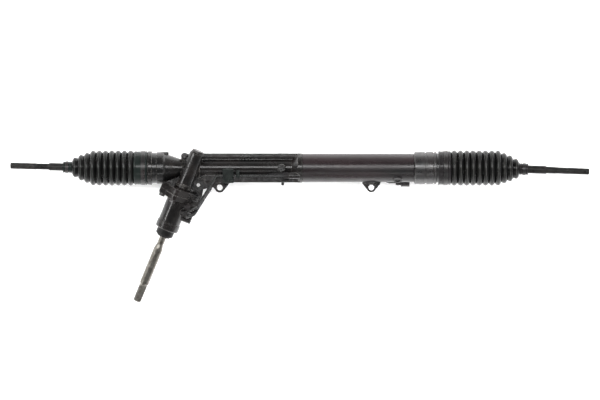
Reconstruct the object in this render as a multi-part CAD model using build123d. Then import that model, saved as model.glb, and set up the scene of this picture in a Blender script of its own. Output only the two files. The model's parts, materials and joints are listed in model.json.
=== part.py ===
"""Power-assisted rack-and-pinion steering gear, as an assembly of separate pieces.

The frame: +X runs along the rack, +Z along the mounting bolts, and the origin is midway between the two
mounting holes, on the seating face of the ears. The gear lies as it rests on a flat surface, on its two
boots and the tip of its input shaft. Millimetres throughout.
"""
from build123d import *
from math import asin, atan, atan2, cos, degrees, hypot, pi, radians, sin, sqrt, tan
import os

# ---------------------------------------------------------------- driving dimensions: layout
ear_spacing = 318.6        # mounting hole to mounting hole
rack_setback = 41.0        # rack axis behind the line of mounting holes
rack_height = 16.0         # rack axis above the seating face of the ears
skew_angle = 22.3          # pinion axis from square to the rack
tower_reach = 304.0        # crossing point to the tip of the input shaft
spigot_end = 334.0         # left end of the casting, from the middle
rack_travel = 70.0         # each way

# ---------------------------------------------------------------- fits
running = 0.05             # shafts in bearings, bushes and seals
gap = 0.3                  # pieces that only pass each other
bore_clearance = 0.8       # round the rack bar where nothing guides it
stop_margin = 1.0          # left over when the rack is at its stop

# ---------------------------------------------------------------- rack and pinion
normal_module = 2.0
pinion_tooth_count = 8
pressure_angle = 20.0
profile_shift = 1.0        # the pinion's teeth stand this much further out
pinion_tip_radius = 11.3
tooth_phase = 0.0
rack_tooth_count = 27
tooth_clearance = 0.05     # added to the centre distance
backlash = 0.16            # taken off each tooth, along the pitch line
bar_radius = 13.0
bar_flat_height = 10.0     # tips of the rack teeth above the bar's axis
pinion_face = 36.0         # length of the toothed part
lower_journal_radius = 6.0
lower_journal_end = -36.0  # heights along the tower are measured from the rack
upper_journal_radius = 9.0

# ---------------------------------------------------------------- inner ball joints and tie rods
ball_reach = spigot_end + 81.0    # ball centres from the middle
ball_radius = 11.0
seat_wall = 3.5
seat_opening = 9.4         # seat's mouth, where the rod's neck comes out
seat_mouth = 8.0           # from the ball centre to the seat's mouth
socket_radius = 18.0
socket_stem = 38.0         # socket's inner face to the ball centre
socket_nose = 14.0         # ball centre to the socket's open end
socket_flat_depth = 2.0
lip_radius = 12.6
stud_radius = 8.0
washer_thickness = 2.5
rod_neck_radius = 6.0
rod_neck_end = 22.0        # lengths along a rod are measured from its ball
rod_shank_start = 28.0
rod_thread_radius = 7.0
left_rod_tilt = 1.5        # the rods lie a little out of line with the rack
left_shank_radius = 8.1
left_waist_radius = 6.4
left_waist_start = 103.0
left_thread_start = 130.0
left_rod_reach = 184.0
right_rod_tilt = 2.2
right_shank_radius = 8.4
right_waist_radius = 7.2
right_waist_start = 112.0
right_thread_start = 131.0
right_rod_reach = 202.0

# ---------------------------------------------------------------- boots and clamps
boot_radius = 37.0
boot_wall = 2.2
boot_fold_depth = 5.2
boot_tail_setback = 57.0
boot_tail_start = ball_reach + boot_tail_setback     # where the small cuffs begin
boot_tail_length = 16.0
boot_tail_radius = 11.5
cone_fold_pitch = 12.5
cone_valleys = [29.5, 25.0, 19.5]      # radii of the three folds that narrow to the small cuff
cone_peaks = [32.0, 27.3, 21.0]
last_valley = 13.5
last_valley_setback = 2.8
cuff_radius = boot_radius - 2
left_cuff_start = spigot_end - 22.5
left_fold_count = 7
right_fold_count = 8
clamp_thickness = 1.2
clamp_width = 8.0
left_clamp_setback = 4.0   # from the cuff's edge
right_clamp_setback = 11.0
clip_width = 6.0
clamp_ear_turn = -135.0    # round the rack, towards the back and underside

# ---------------------------------------------------------------- cylinder
tube_radius = 30.0
tube_bore = 23.5
tube_start = 13.5
collar_reach = 75.0        # from the end of the tube to the end of the right spigot
right_spigot_setback = 10.0
right_spigot_end = spigot_end - right_spigot_setback
tube_end = right_spigot_end - collar_reach
tube_skin = 1.0            # how far the tube is let into a piece bolted round it
cylinder_spigot_end = 40.0
piston_width = 14.0
piston_edge = 2.0
ring_groove_width = 4.0
ring_groove_depth = 3.0
ring_play = 0.05
gland_setback = 35.0       # outer gland begins this far inside the tube
gland_depth = 26.0
gland_radius = 18.0
rod_seal_length = 8.0
bush_length = 12.0
bush_outer = 16.0
collar_radius = 34.0
collar_groove_radius = 32.3
spigot_radius = 30.5
port_pad_x = tube_end - 35.0           # round pad of the outer port, on the near side of the tube
port_pad_angle = 54.0
port_pad_radius = 9.4
port_pad_height = 2.6
port_pad_dish = 5.6

# ---------------------------------------------------------------- gear housing
pinion_setback = 114.5
pinion_x = -(spigot_end - pinion_setback)     # where the pinion crosses the rack
neck_outer = 17.2          # round the rack bar on the left of the pinion
cone_foot = 61.0           # the housing narrows to its neck between these two places, from the left end
cone_top = 98.0
socket_well = socket_radius + 2.0
barrel_radius = 15.8
barrel_start = -38.5
cap_radius = 11.0
cap_hex_radius = 14.2
cap_hex_height = 4.0
cap_seat = 1.5             # plug's inner face to the end of the pinion
barrel_ring_count = 3      # each ring stands 1 mm higher than the one before
barrel_ring_pitch = 3.0
barrel_ring_radius = 17.2
flange_joint = 58.0        # face between housing flange and valve flange
flange_thickness = 14.0
flange_hub = 24.5
flange_bolt_reach = 36.0
front_bolt_reach = 34.0
front_bolt_angle = 18.0
flange_bolt_radius = 4.0
bolt_head_radius = 7.0
bolt_head_height = 5.5
bolt_washer_thickness = 1.2
bolt_fit = 0.1
flange_lobe = 8.5
upper_bearing_start = 44.0
upper_bearing_end = 57.0
upper_bearing_outer = 18.5
flange_seal_depth = 1.0
flange_seal_width = 2.0
yoke_radius = 13.0
yoke_start = 2.0
yoke_end = 20.0
yoke_boss_radius = 18.5
yoke_boss_end = 33.0
liner_thickness = 1.2
liner_ease = 0.01
spring_seat = 15.5
spring_wire = 1.5
spring_radius = 7.0
spring_turns = 2.5
plug_start = 21.0
plug_floor = 25.5
plug_radius = 15.0
plug_wall = 5.0
plug_hex_radius = 8.0
casting_start = pinion_x + 23.5
casting_end = 9.0
core_radius = 18.0
rail_height = 30.5         # rails' outer edges, off the rack axis
upper_rail_width = 10.5
lower_rail_width = 17.6
rail_half_depth = 13.0
rail_round = 3.0
web_half_depth = 6.0
rib_half_width = 2.5
rib_places = [casting_start + 28.0 + 56.0 * i for i in range(3)]
pad_x = -29.5
pad_radius = 8.0
pad_height = 2.5
peg_x = -27.0
peg_radius = 2.8
peg_length = 6.0
gusset_half_depth = 9.0
gusset_hole_radius = 3.6
ear_hole_radius = 6.0
ear_radius = 10.8
ear_thickness = 14.0
ear_root_width = 46.0
bracket_ear_radius = 10.0
bracket_root_width = 38.0
saddle_thickness = 3.0
saddle_half = 19.0
joint_flange = 31.0
vent_x = pinion_x - 13.5
vent_y = rack_setback + 25.0
vent_lug = 8.5             # second round of the lug, along the rack
vent_boss_radius = 7.0
vent_boss_half = 10.0
vent_bolt_radius = 4.0
vent_head_radius = 5.5
cable_lug_setback = 62.0
cable_lug_x = pinion_x - cable_lug_setback
cable_lug_width = 15.0
cable_lug_rise = 33.5

# ---------------------------------------------------------------- valve and input shaft
sleeve_radius = 16.0
sleeve_start = 67.0
sleeve_end = 108.0
sleeve_bore = 11.5
sleeve_seat = 8.0
sleeve_ring_count = 4
ring_width = 2.0
ring_depth = 1.5
sleeve_port_radius = 1.6
valve_bore = 16.8
torsion_bar_radius = 3.2
torsion_bar_waist = 2.5
torsion_bar_start = 20.0
torsion_bar_end = 160.0
pin_radius = 1.5
pin_ease = 0.02
shaft_pin_height = 148.0
stub_radius = 9.5          # input shaft where it runs in the sleeve, bearing and seal
neck_start = 154.0
neck_radius = 6.8
shaft_shoulder = 182.0
shaft_radius = 9.3
spline_start = 266.0
spline_radius = 8.0
valve_flange_thickness = 10.0
valve_body_radius = 24.5
valve_body_end = 137.0
valve_band = 15.0          # full-size band at the end of the valve body
seal_outer = 17.0
bearing_outer = 14.5
bearing_length = 12.0
seal_length = 7.0
dust_cap_end = 154.0
dust_cap_radius = 18.5
port_reach = 41.0          # valve ports, out from the tower's axis
port_heights = [84.0, 101.0]
port_boss_radius = 8.0
port_bore = 6.0
port_depth = 12.0
line_port_heights = [73.0, 89.0]
line_port_reach = 31.0
line_port_angle = 48.0     # turned from outward towards the right
line_boss_radius = 7.0

# ---------------------------------------------------------------- pressure lines
line_radius = 3.0
line_fit = 0.05
line_clear = 3.4           # from a line's centre to the casting it passes
bend_radius = 11.0
union_length = 11.0
union_hex_radius = 7.6
union_seat = 6.0           # how far a line's end goes into its boss
port_run = 22.5            # a line leaves the valve this far before its first bend
line_y = rack_setback - 16.3           # where the short line lies on the lower rail
line_z = rack_height + rail_half_depth + line_clear
inner_boss_start = -14.0
inner_port_z = rack_height + rail_half_depth + union_hex_radius + 0.8
back_line_angle = 65.0     # round the tube, below the horizontal
back_line_radius = tube_radius + 4.2
outer_block_start = tube_end - 27.0
outer_block_length = 18.0
outer_block_angle = 40.0
outer_block_radius = 10.0
outer_block_standoff = 8.2  # port block's axis off the tube
clip_setback = 67.1
clip_start = pinion_x + clip_setback    # the clip stands beside the left ear, past the last bend
clip_length = 22.4
clip_low = 9.0
clip_high = rack_setback - 1.5
clip_height = 11.5
small_clip_setback = 28.0
small_clip_length = 7.0
small_clip_low = 19.5
small_clip_high = rack_setback - 4.5
small_clip_height = 9.5
clip_round = 2.0

# ---------------------------------------------------------------- places that follow from these
bar_end = ball_reach - socket_stem - washer_thickness
stop_face = bar_end - rack_travel - stop_margin      # lock washers stop here at full travel
gland_start = tube_end - gland_setback
piston_x = (cylinder_spigot_end + gland_start) / 2
inner_gland = cylinder_spigot_end - gland_depth
outer_gland = gland_start + gland_depth
right_cuff_start = right_spigot_end - 24.5
left_fold_start = spigot_end + 5.5
right_fold_start = right_spigot_end + 2.5
cone_start = boot_tail_start - last_valley_setback - len(cone_peaks) * cone_fold_pitch
seat_radius = ball_radius + running + seat_wall
rack_bore = bar_radius + bore_clearance
pinion_bore = pinion_tip_radius + 0.6
bearing_start = sleeve_end + 4
bearing_end = bearing_start + bearing_length
seal_start = bearing_end + 3
seal_end = seal_start + seal_length
tooth_pitch = pi * normal_module
pinion_pitch_radius = normal_module * pinion_tooth_count / 2 / cos(radians(skew_angle))
addendum = normal_module
dedendum = 1.25 * normal_module
tooth_root_height = bar_flat_height - addendum - dedendum
centre_distance = bar_flat_height - addendum + pinion_pitch_radius + profile_shift + tooth_clearance

# ---------------------------------------------------------------- frames
# the tower droops until the shaft's tip lies as low as the boots
tower_run = tower_reach * cos(radians(skew_angle))
droop_angle = degrees(atan2(centre_distance, tower_run)
                      + asin((boot_radius - spline_radius) / hypot(centre_distance, tower_run)))
outward = Vector(0, -sin(radians(droop_angle)), cos(radians(droop_angle)))
tower_direction = Vector(
    -sin(radians(skew_angle)),
    -cos(radians(skew_angle)) * cos(radians(droop_angle)),
    -cos(radians(skew_angle)) * sin(radians(droop_angle)),
)
rack_centre = Vector(0, rack_setback, rack_height)
crossing = rack_centre + Vector(pinion_x, 0, 0)

# local Z runs along the rack, along the tower, or out of the back of the rack where the yoke sits
on_rack = Plane(origin=rack_centre, x_dir=outward, z_dir=(1, 0, 0)).location
on_tower = Plane(origin=crossing + outward * centre_distance, x_dir=outward, z_dir=tower_direction).location
on_yoke = Plane(origin=crossing, x_dir=(1, 0, 0), z_dir=-outward).location


# ---------------------------------------------------------------- helpers
def lathe(*profile):
    """Solid turned about local Z; each point of the profile is (height, radius)."""
    outline = Polyline(*[(radius, height) for height, radius in profile], close=True)
    return revolve(make_face(Plane.XZ * outline), Axis.Z)


def rod(start, end, radius):
    """Plain cylinder on local Z, from one height to the other."""
    return lathe((start, 0), (start, radius), (end, radius), (end, 0))


def ring(start, end, inner, outer):
    """Plain ring round local Z."""
    return lathe((start, inner), (start, outer), (end, outer), (end, inner))


def block(low, high):
    """Box between two corners."""
    size = [b - a for a, b in zip(low, high)]
    middle = [(a + b) / 2 for a, b in zip(low, high)]
    return Pos(*middle) * Box(*size)


def hexagon(start, end, radius):
    """Hexagonal prism on local Z; the radius is across its corners."""
    return Pos(0, 0, start) * extrude(RegularPolygon(radius, 6), end - start)


def lobed_plate(start, end, hub, lobes, lobe_radius):
    """Flange plate: a round hub with a rounded lobe at each bolt, joined by tangent webs."""
    face = make_hull(
        Circle(hub).edges() + [edge for x, y in lobes for edge in (Pos(x, y) * Circle(lobe_radius)).edges()]
    )
    return Pos(0, 0, start) * extrude(face, end - start)


def across(height, radius, length):
    """Cylinder that crosses local Z at the given height, along local X."""
    return Pos(0, 0, height) * Rot(0, 90, 0) * Cylinder(radius, length)


def mirrored(solid):
    """The same piece at the other end of the rack."""
    return mirror(solid, Plane.YZ)


pieces = {}


# ================================================================ rack, pinion and valve

def rack_tooth_gap():
    """Space between two rack teeth, drawn in (along the rack, out of the flat)."""
    reference_half = tooth_pitch / 4 + backlash / 2
    slope = tan(radians(pressure_angle))
    top = bar_radius
    reference_height = bar_flat_height - addendum
    half_at_top = reference_half + (top - reference_height) * slope
    half_at_root = reference_half - dedendum * slope
    return [
        (-half_at_top, top),
        (-half_at_root, tooth_root_height),
        (half_at_root, tooth_root_height),
        (half_at_top, top),
    ]


def make_rack_bar():
    """Round bar with a toothed flat, waisted seats for the washers and a stud at each end."""
    stud_length = socket_stem - ball_radius - seat_wall - 3
    stud_end = bar_end + washer_thickness + stud_length
    half = [
        (bar_end - 1, bar_radius),
        (bar_end, bar_radius - 1),
        (bar_end, stud_radius),
        (stud_end - 1, stud_radius),
        (stud_end, stud_radius - 1),
    ]
    left_half = [(-x, r) for x, r in half]
    outline = [(-stud_end, 0)] + left_half[::-1] + half + [(stud_end, 0)]
    bar = lathe(*outline)
    # in the bar's own frame local X points out of the flat, local Z along the rack
    toothed_length = rack_tooth_count * tooth_pitch
    flat_depth = bar_radius - bar_flat_height
    flat = Pos(bar_flat_height + flat_depth / 2, 0, pinion_x) * Box(
        flat_depth, 2 * bar_radius, toothed_length + tooth_pitch / 2
    )
    gap_face = make_face(Polyline(*[(h, x) for x, h in rack_tooth_gap()], close=True))
    gap_cut = extrude(Plane.XZ * gap_face, bar_radius, both=True)
    first = pinion_x - toothed_length / 2 + tooth_pitch / 2
    cuts = [Pos(0, 0, first + i * tooth_pitch) * gap_cut for i in range(rack_tooth_count)]
    return on_rack * (bar - flat - cuts)


def pinion_section():
    """Involute tooth outline in the plane square to the pinion's axis."""
    skew = radians(skew_angle)
    transverse_angle = atan(tan(radians(pressure_angle)) / cos(skew))
    base_radius = pinion_pitch_radius * cos(transverse_angle)
    root_radius = pinion_pitch_radius + profile_shift - dedendum
    tooth_width = (tooth_pitch / 2 + 2 * profile_shift * tan(radians(pressure_angle)) - backlash) / cos(skew)
    involute_at_pitch = tan(transverse_angle) - transverse_angle
    half_angle_at_base = tooth_width / (2 * pinion_pitch_radius) + involute_at_pitch

    def flank_point(radius):
        roll = sqrt(max(radius**2 - base_radius**2, 0)) / base_radius
        angle = half_angle_at_base - (roll - atan(roll))
        return radius, angle

    flank_steps = 4
    flank = [
        flank_point(base_radius + (pinion_tip_radius - base_radius) * i / flank_steps)
        for i in range(flank_steps + 1)
    ]
    flank = [(root_radius, half_angle_at_base + 0.02)] + flank
    outline = []
    for tooth in range(pinion_tooth_count):
        centre = 2 * pi * tooth / pinion_tooth_count
        rising = [(r, centre - a) for r, a in flank]
        falling = [(r, centre + a) for r, a in flank[::-1]]
        outline += [(r * cos(a), r * sin(a)) for r, a in rising + falling]
    return make_face(Polyline(*outline, close=True)).face()


def make_pinion():
    """Helical pinion with its two journals and the head that drives the valve sleeve."""
    section = pinion_section()
    turn = degrees(pinion_face * tan(radians(skew_angle)) / pinion_pitch_radius)
    teeth = Solid.extrude_linear_with_rotation(section, (0, 0, 0), (0, 0, pinion_face), turn)
    teeth = Rot(0, 0, tooth_phase - turn / 2) * Pos(0, 0, -pinion_face / 2) * teeth
    half_face = pinion_face / 2
    core_radius = pinion_pitch_radius + profile_shift - dedendum
    journals = lathe(
        (lower_journal_end, 0),
        (lower_journal_end, lower_journal_radius - 0.5),
        (lower_journal_end + 0.5, lower_journal_radius),
        (-half_face - 1, lower_journal_radius),
        (-half_face, core_radius),
        (half_face, core_radius),
        (half_face + 2, upper_journal_radius),
        (sleeve_start - 4, upper_journal_radius),
        (sleeve_start - 4, sleeve_bore - running),
        (sleeve_start + sleeve_seat, sleeve_bore - running),
        (sleeve_start + sleeve_seat, 0),
    )
    bore = rod(torsion_bar_start, sleeve_start + sleeve_seat + 1, torsion_bar_radius + running)
    return on_tower * (teeth + journals - bore)


sleeve_land = (sleeve_end - sleeve_start) / sleeve_ring_count
sleeve_ring_heights = [sleeve_start + (i + 0.5) * sleeve_land for i in range(sleeve_ring_count)]


def make_valve_sleeve():
    """Valve sleeve: ported barrel with four ring grooves, round the input shaft's stub."""
    body = ring(sleeve_start, sleeve_end, stub_radius + running, sleeve_radius)
    body -= rod(sleeve_start - 1, sleeve_start + sleeve_seat + gap, sleeve_bore)
    for middle in sleeve_ring_heights:
        low = middle - ring_width / 2
        body -= ring(low, low + ring_width, sleeve_radius - ring_depth, sleeve_radius + 1)
    for middle in sleeve_ring_heights[:-1]:
        body -= across(middle + sleeve_land / 2, sleeve_port_radius, 3 * sleeve_radius)
    return on_tower * body


def make_sleeve_rings():
    """Four sealing rings in the sleeve's grooves."""
    half = ring_width / 2 - ring_play
    inner = sleeve_radius - ring_depth + ring_play
    return [
        on_tower * ring(middle - half, middle + half, inner, valve_bore - running)
        for middle in sleeve_ring_heights
    ]


def make_input_shaft():
    """Input shaft: ground stub inside the valve, thin neck, thick shaft and a splined end."""
    stub_start = sleeve_start + sleeve_seat + 1
    shaft = lathe(
        (stub_start, 0),
        (stub_start, stub_radius),
        (neck_start, stub_radius),
        (neck_start + 3, neck_radius),
        (shaft_shoulder - 9, neck_radius),
        (shaft_shoulder - 6, neck_radius + 0.8),
        (shaft_shoulder, shaft_radius),
        (spline_start - 4, shaft_radius),
        (spline_start - 2, spline_radius),
        (spline_start, spline_radius - 0.8),
        (spline_start + 1.5, spline_radius),
        (tower_reach - 2, spline_radius),
        (tower_reach, spline_radius - 2),
        (tower_reach, 0),
    )
    bar_hole = rod(stub_start - 1, torsion_bar_end + 0.5, torsion_bar_radius + running)
    pin_hole = across(shaft_pin_height, pin_radius, 3 * stub_radius)
    return on_tower * (shaft - bar_hole - pin_hole)


def make_torsion_bar():
    """Torsion bar: thin in the middle, full size where it is held at each end."""
    waist = torsion_bar_waist
    bar = lathe(
        (torsion_bar_start + 0.5, 0),
        (torsion_bar_start + 0.5, torsion_bar_radius),
        (torsion_bar_start + 18, torsion_bar_radius),
        (torsion_bar_start + 22, waist),
        (shaft_pin_height - 12, waist),
        (shaft_pin_height - 8, torsion_bar_radius),
        (torsion_bar_end, torsion_bar_radius),
        (torsion_bar_end, 0),
    )
    pin_hole = across(shaft_pin_height, pin_radius, 3 * stub_radius)
    return on_tower * (bar - pin_hole)


def make_torsion_bar_pin():
    """Cross pin that ties the torsion bar to the input shaft."""
    return on_tower * across(shaft_pin_height, pin_radius - pin_ease, 2 * stub_radius - 1)


pieces["rack_bar"] = make_rack_bar()
pieces["pinion"] = make_pinion()
pieces["valve_sleeve"] = make_valve_sleeve()
pieces["valve_sleeve_rings"] = make_sleeve_rings()
pieces["input_shaft"] = make_input_shaft()
pieces["torsion_bar"] = make_torsion_bar()
pieces["torsion_bar_pin"] = make_torsion_bar_pin()


# ================================================================ piston and inner ball joints

def make_piston():
    """Piston on the rack bar, with its ring groove."""
    low = piston_x - piston_width / 2
    high = piston_x + piston_width / 2
    outer = tube_bore - gap
    groove_floor = outer - ring_groove_depth
    return on_rack * lathe(
        (low, bar_radius),
        (low, outer - piston_edge),
        (low + piston_edge, outer),
        (piston_x - ring_groove_width / 2, outer),
        (piston_x - ring_groove_width / 2, groove_floor),
        (piston_x + ring_groove_width / 2, groove_floor),
        (piston_x + ring_groove_width / 2, outer),
        (high - piston_edge, outer),
        (high, outer - piston_edge),
        (high, bar_radius),
    )


def make_piston_ring():
    """Sealing ring that runs on the tube's bore."""
    half = ring_groove_width / 2 - ring_play
    inner = tube_bore - gap - ring_groove_depth + ring_play
    return on_rack * ring(piston_x - half, piston_x + half, inner, tube_bore - running)


def make_ball_socket():
    """Socket screwed on the end of the rack bar, with flats, a spherical pocket and a rolled lip."""
    inner_end = ball_reach - socket_stem
    outer_end = ball_reach + socket_nose
    body = lathe(
        (inner_end, stud_radius),
        (inner_end, socket_radius - 2),
        (inner_end + 2, socket_radius),
        (outer_end - 6, socket_radius),
        (outer_end, socket_radius - 4),
        (outer_end, 0),
        (ball_reach - seat_radius, 0),
        (ball_reach - seat_radius - 2, 0),
        (ball_reach - seat_radius - 2, stud_radius),
    )
    pocket = Pos(0, 0, ball_reach) * Sphere(seat_radius + running)
    mouth = lathe(
        (ball_reach, 0),
        (ball_reach, lip_radius),
        (outer_end - 4, lip_radius - 1.2),
        (outer_end + 1, lip_radius),
        (outer_end + 1, 0),
    )
    body = body - pocket - mouth
    flat_start = inner_end + socket_stem / 6
    flat_end = inner_end + socket_stem / 2
    for side in (1, -1):
        flat = side * (socket_radius - socket_flat_depth)
        beyond = side * (socket_radius + 1)
        low = (min(flat, beyond), -socket_radius, flat_start)
        high = (max(flat, beyond), socket_radius, flat_end)
        body -= block(low, high)
    return on_rack * body


def make_lock_washer():
    """Tab washer between the rack bar and the socket, bent over one of the flats."""
    return on_rack * ring(bar_end, bar_end + washer_thickness, stud_radius + 0.1, socket_radius - 2.5)


def make_ball_seat():
    """Bearing shell round the ball, open where the rod comes out."""
    shell = Sphere(seat_radius) - Sphere(ball_radius + running)
    mouth = lathe(
        (0, 0),
        (0, 1),
        (seat_mouth - 1, seat_opening),
        (seat_mouth, seat_opening + 0.6),
        (seat_mouth, 2 * seat_radius),
        (2 * seat_radius, 2 * seat_radius),
        (2 * seat_radius, 0),
    )
    return on_rack * Pos(0, 0, ball_reach) * (shell - mouth)


def make_tie_rod(waist_start, thread_start, reach, shank_radius, waist_radius):
    """Inner tie rod along local Z from its ball: neck, shank, waist and threaded end."""
    return Sphere(ball_radius) + lathe(
        (0, 0),
        (0, rod_neck_radius),
        (rod_neck_end, rod_neck_radius),
        (rod_shank_start, shank_radius),
        (waist_start - 1, shank_radius),
        (waist_start, waist_radius),
        (thread_start - 1, waist_radius),
        (thread_start, rod_thread_radius),
        (reach - 1.5, rod_thread_radius),
        (reach, rod_thread_radius - 1.5),
        (reach, 0),
    )


left_ball = rack_centre + Vector(-ball_reach, 0, 0)
right_ball = rack_centre + Vector(ball_reach, 0, 0)


def rod_line(ball, side, tilt):
    """Frame at a ball with local Z out along its rod; side is -1 on the left, 1 on the right."""
    angle = radians(tilt)
    direction = Vector(side * cos(angle), -side * sin(angle), 0)
    return Plane(origin=ball, x_dir=(0, 0, 1), z_dir=direction).location


on_left_rod = rod_line(left_ball, -1, left_rod_tilt)
on_right_rod = rod_line(right_ball, 1, right_rod_tilt)

pieces["piston"] = make_piston()
pieces["piston_ring"] = make_piston_ring()
pieces["right_ball_socket"] = make_ball_socket()
pieces["left_ball_socket"] = mirrored(pieces["right_ball_socket"])
pieces["right_lock_washer"] = make_lock_washer()
pieces["left_lock_washer"] = mirrored(pieces["right_lock_washer"])
pieces["right_ball_seat"] = make_ball_seat()
pieces["left_ball_seat"] = mirrored(pieces["right_ball_seat"])
pieces["left_tie_rod"] = on_left_rod * make_tie_rod(
    left_waist_start, left_thread_start, left_rod_reach, left_shank_radius, left_waist_radius
)
pieces["right_tie_rod"] = on_right_rod * make_tie_rod(
    right_waist_start, right_thread_start, right_rod_reach, right_shank_radius, right_waist_radius
)


# ================================================================ boots and their clamps

def boot_profile(cuff_start, fold_start, fold_count):
    """Outer line of a boot as (distance from the middle, radius): cuff, folds, cone and last valley."""
    valley_radius = boot_radius - boot_fold_depth
    pitch = (cone_start - fold_start) / fold_count
    line = [(cuff_start, cuff_radius), (fold_start - clamp_thickness, cuff_radius)]
    for i in range(fold_count):
        valley = fold_start + i * pitch
        line += [(valley, valley_radius), (valley + pitch / 2, boot_radius)]
    for i, (low, high) in enumerate(zip(cone_valleys, cone_peaks)):
        valley = cone_start + i * cone_fold_pitch
        line += [(valley, low), (valley + cone_fold_pitch / 2, high)]
    return line + [(boot_tail_start - last_valley_setback, last_valley), (boot_tail_start, boot_tail_radius)]


def make_boot(side, cuff_start, spigot_tip, fold_start, fold_count, on_rod, shank_radius):
    """Hollow bellows on the housing's spigot, with its small cuff in line with the tie rod."""
    outer = boot_profile(cuff_start, fold_start, fold_count)
    inner = [(x, r - boot_wall) for x, r in outer]
    spigot_fit = spigot_radius + gap
    tail_fit = shank_radius + gap
    inner[0] = (cuff_start, spigot_fit)
    inner[1] = (spigot_tip + gap, spigot_fit)
    inner[-1] = (boot_tail_start, tail_fit)
    folds = on_rack * lathe(*[(side * x, r) for x, r in outer + inner[::-1]])
    tail_from = boot_tail_start - ball_reach
    tail_to = tail_from + boot_tail_length
    tail = on_rod * ring(tail_from - boot_wall, tail_to, tail_fit, boot_tail_radius)
    passage = on_rod * rod(tail_from - boot_tail_radius, tail_to + 1, tail_fit)
    return folds + tail - passage


def make_large_clamp(side, cuff_start, setback):
    """Band clamp round a boot's large cuff, with its crimped ear on the back."""
    start = cuff_start + setback
    outer = cuff_radius + clamp_thickness
    band = ring(start, start + clamp_width, cuff_radius + running, outer)
    ear_low = (outer - clamp_thickness, -clamp_width / 3, start + clamp_thickness)
    ear_high = (outer + 3 * clamp_thickness, clamp_width / 3, start + clamp_width - clamp_thickness)
    clamp = band + Rot(0, 0, clamp_ear_turn) * block(ear_low, ear_high)
    return on_rack * (clamp if side > 0 else mirror(clamp, Plane.XY))


def make_small_clamp(on_rod):
    """Spring clip round a boot's small cuff."""
    middle = boot_tail_start + boot_tail_length / 2 - ball_reach
    inner = boot_tail_radius + running
    start = middle - clip_width / 2
    return on_rod * ring(start, start + clip_width, inner, boot_tail_radius + clamp_thickness)


pieces["left_boot"] = make_boot(
    -1,
    left_cuff_start,
    spigot_end,
    left_fold_start,
    left_fold_count,
    on_left_rod,
    left_shank_radius,
)
pieces["right_boot"] = make_boot(
    1,
    right_cuff_start,
    right_spigot_end,
    right_fold_start,
    right_fold_count,
    on_right_rod,
    right_shank_radius,
)
pieces["left_boot_clamp"] = make_large_clamp(-1, left_cuff_start, left_clamp_setback)
pieces["right_boot_clamp"] = make_large_clamp(1, right_cuff_start, right_clamp_setback)
pieces["left_boot_clip"] = make_small_clamp(on_left_rod)
pieces["right_boot_clip"] = make_small_clamp(on_right_rod)


# ================================================================ gear housing

def flange_bolt_points():
    """Three flange bolts: one at each side and one at the front; local X is outward, local Y sideways."""
    angle = radians(front_bolt_angle)
    return [
        (0, flange_bolt_reach),
        (0, -flange_bolt_reach),
        (front_bolt_reach * cos(angle), front_bolt_reach * sin(angle)),
    ]


def round_tube(x, angle, radius):
    """Point outside the tube, the given angle below the horizontal on the near side."""
    drop = radians(angle)
    return Vector(x, rack_setback - radius * cos(drop), rack_height - radius * sin(drop))


def make_left_end():
    """Left end of the casting: boot spigot, ring, step, band, cone and neck."""
    profile = [
        (0.0, spigot_radius - 1),
        (1.0, spigot_radius),
        (23.5, spigot_radius),
        (23.5, spigot_radius + 3.5),
        (25.0, spigot_radius + 5),
        (32.0, spigot_radius + 5),
        (33.0, spigot_radius + 4),
        (33.0, spigot_radius + 1.5),
        (42.0, spigot_radius + 1.5),
        (43.5, spigot_radius + 3),
        (cone_foot - 4, spigot_radius + 3),
        (cone_foot, spigot_radius - 0.5),
        (cone_top - 5, neck_outer + 1.5),
        (cone_top, neck_outer),
        (casting_start + spigot_end + 16.0, neck_outer),
    ]
    outline = [(setback - spigot_end, radius) for setback, radius in profile]
    return on_rack * lathe((outline[0][0], 0), *outline, (outline[-1][0], 0))


def make_rail(start, inner_y, outer_y):
    """One rail of the casting, rounded along its length."""
    low = (start, min(inner_y, outer_y), rack_height - rail_half_depth)
    high = (casting_end, max(inner_y, outer_y), rack_height + rail_half_depth)
    rail = block(low, high)
    return fillet(rail.edges().filter_by(Axis.X), rail_round)


def make_centre_casting():
    """Middle of the casting: a round core between two rails, joined by a web, with cross ribs."""
    flare = joint_flange - core_radius
    core = on_rack * lathe(
        (casting_start - 4, 0),
        (casting_start - 4, neck_outer),
        (casting_start + 8, core_radius),
        (casting_end - flare - 4, core_radius),
        (casting_end - 4, joint_flange),
        (tube_start, joint_flange),
        (tube_start, 0),
    )
    top_y = rack_setback + rail_height
    bottom_y = rack_setback - rail_height
    upper_rail = make_rail(casting_start, top_y - upper_rail_width, top_y)
    lower_rail = make_rail(casting_start + 6, bottom_y + lower_rail_width, bottom_y)
    web_low = (casting_start + 2, bottom_y + rail_round, rack_height - web_half_depth)
    web_high = (casting_end, top_y - rail_round, rack_height + web_half_depth)
    casting = core + upper_rail + lower_rail + block(web_low, web_high)
    pad_top = core_radius + pad_height
    casting += Pos(pad_x, rack_setback, rack_height) * lathe(
        (0, 0),
        (0, pad_radius + 1.5),
        (core_radius - 1, pad_radius + 1.5),
        (pad_top, pad_radius),
        (pad_top, 0),
    )
    rib_depth = rail_half_depth - 2
    for x in rib_places:
        low = (x - rib_half_width, bottom_y + rail_round, rack_height - rib_depth)
        high = (x + rib_half_width, top_y - rail_round, rack_height)
        casting += block(low, high)
    peg = Rot(90, 0, 0) * rod(-rail_round, peg_length, peg_radius)
    return casting + Pos(peg_x, bottom_y, rack_height) * peg


def make_left_ear():
    """Left mounting ear, cast on the lower rail."""
    x = -ear_spacing / 2
    root_y = rack_setback - rail_height + 4
    outline = make_hull(
        (Pos(x, 0) * Circle(ear_radius)).edges()
        + (Pos(x, root_y) * Rectangle(ear_root_width, 4)).edges()
    )
    return extrude(outline, ear_thickness)


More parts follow.
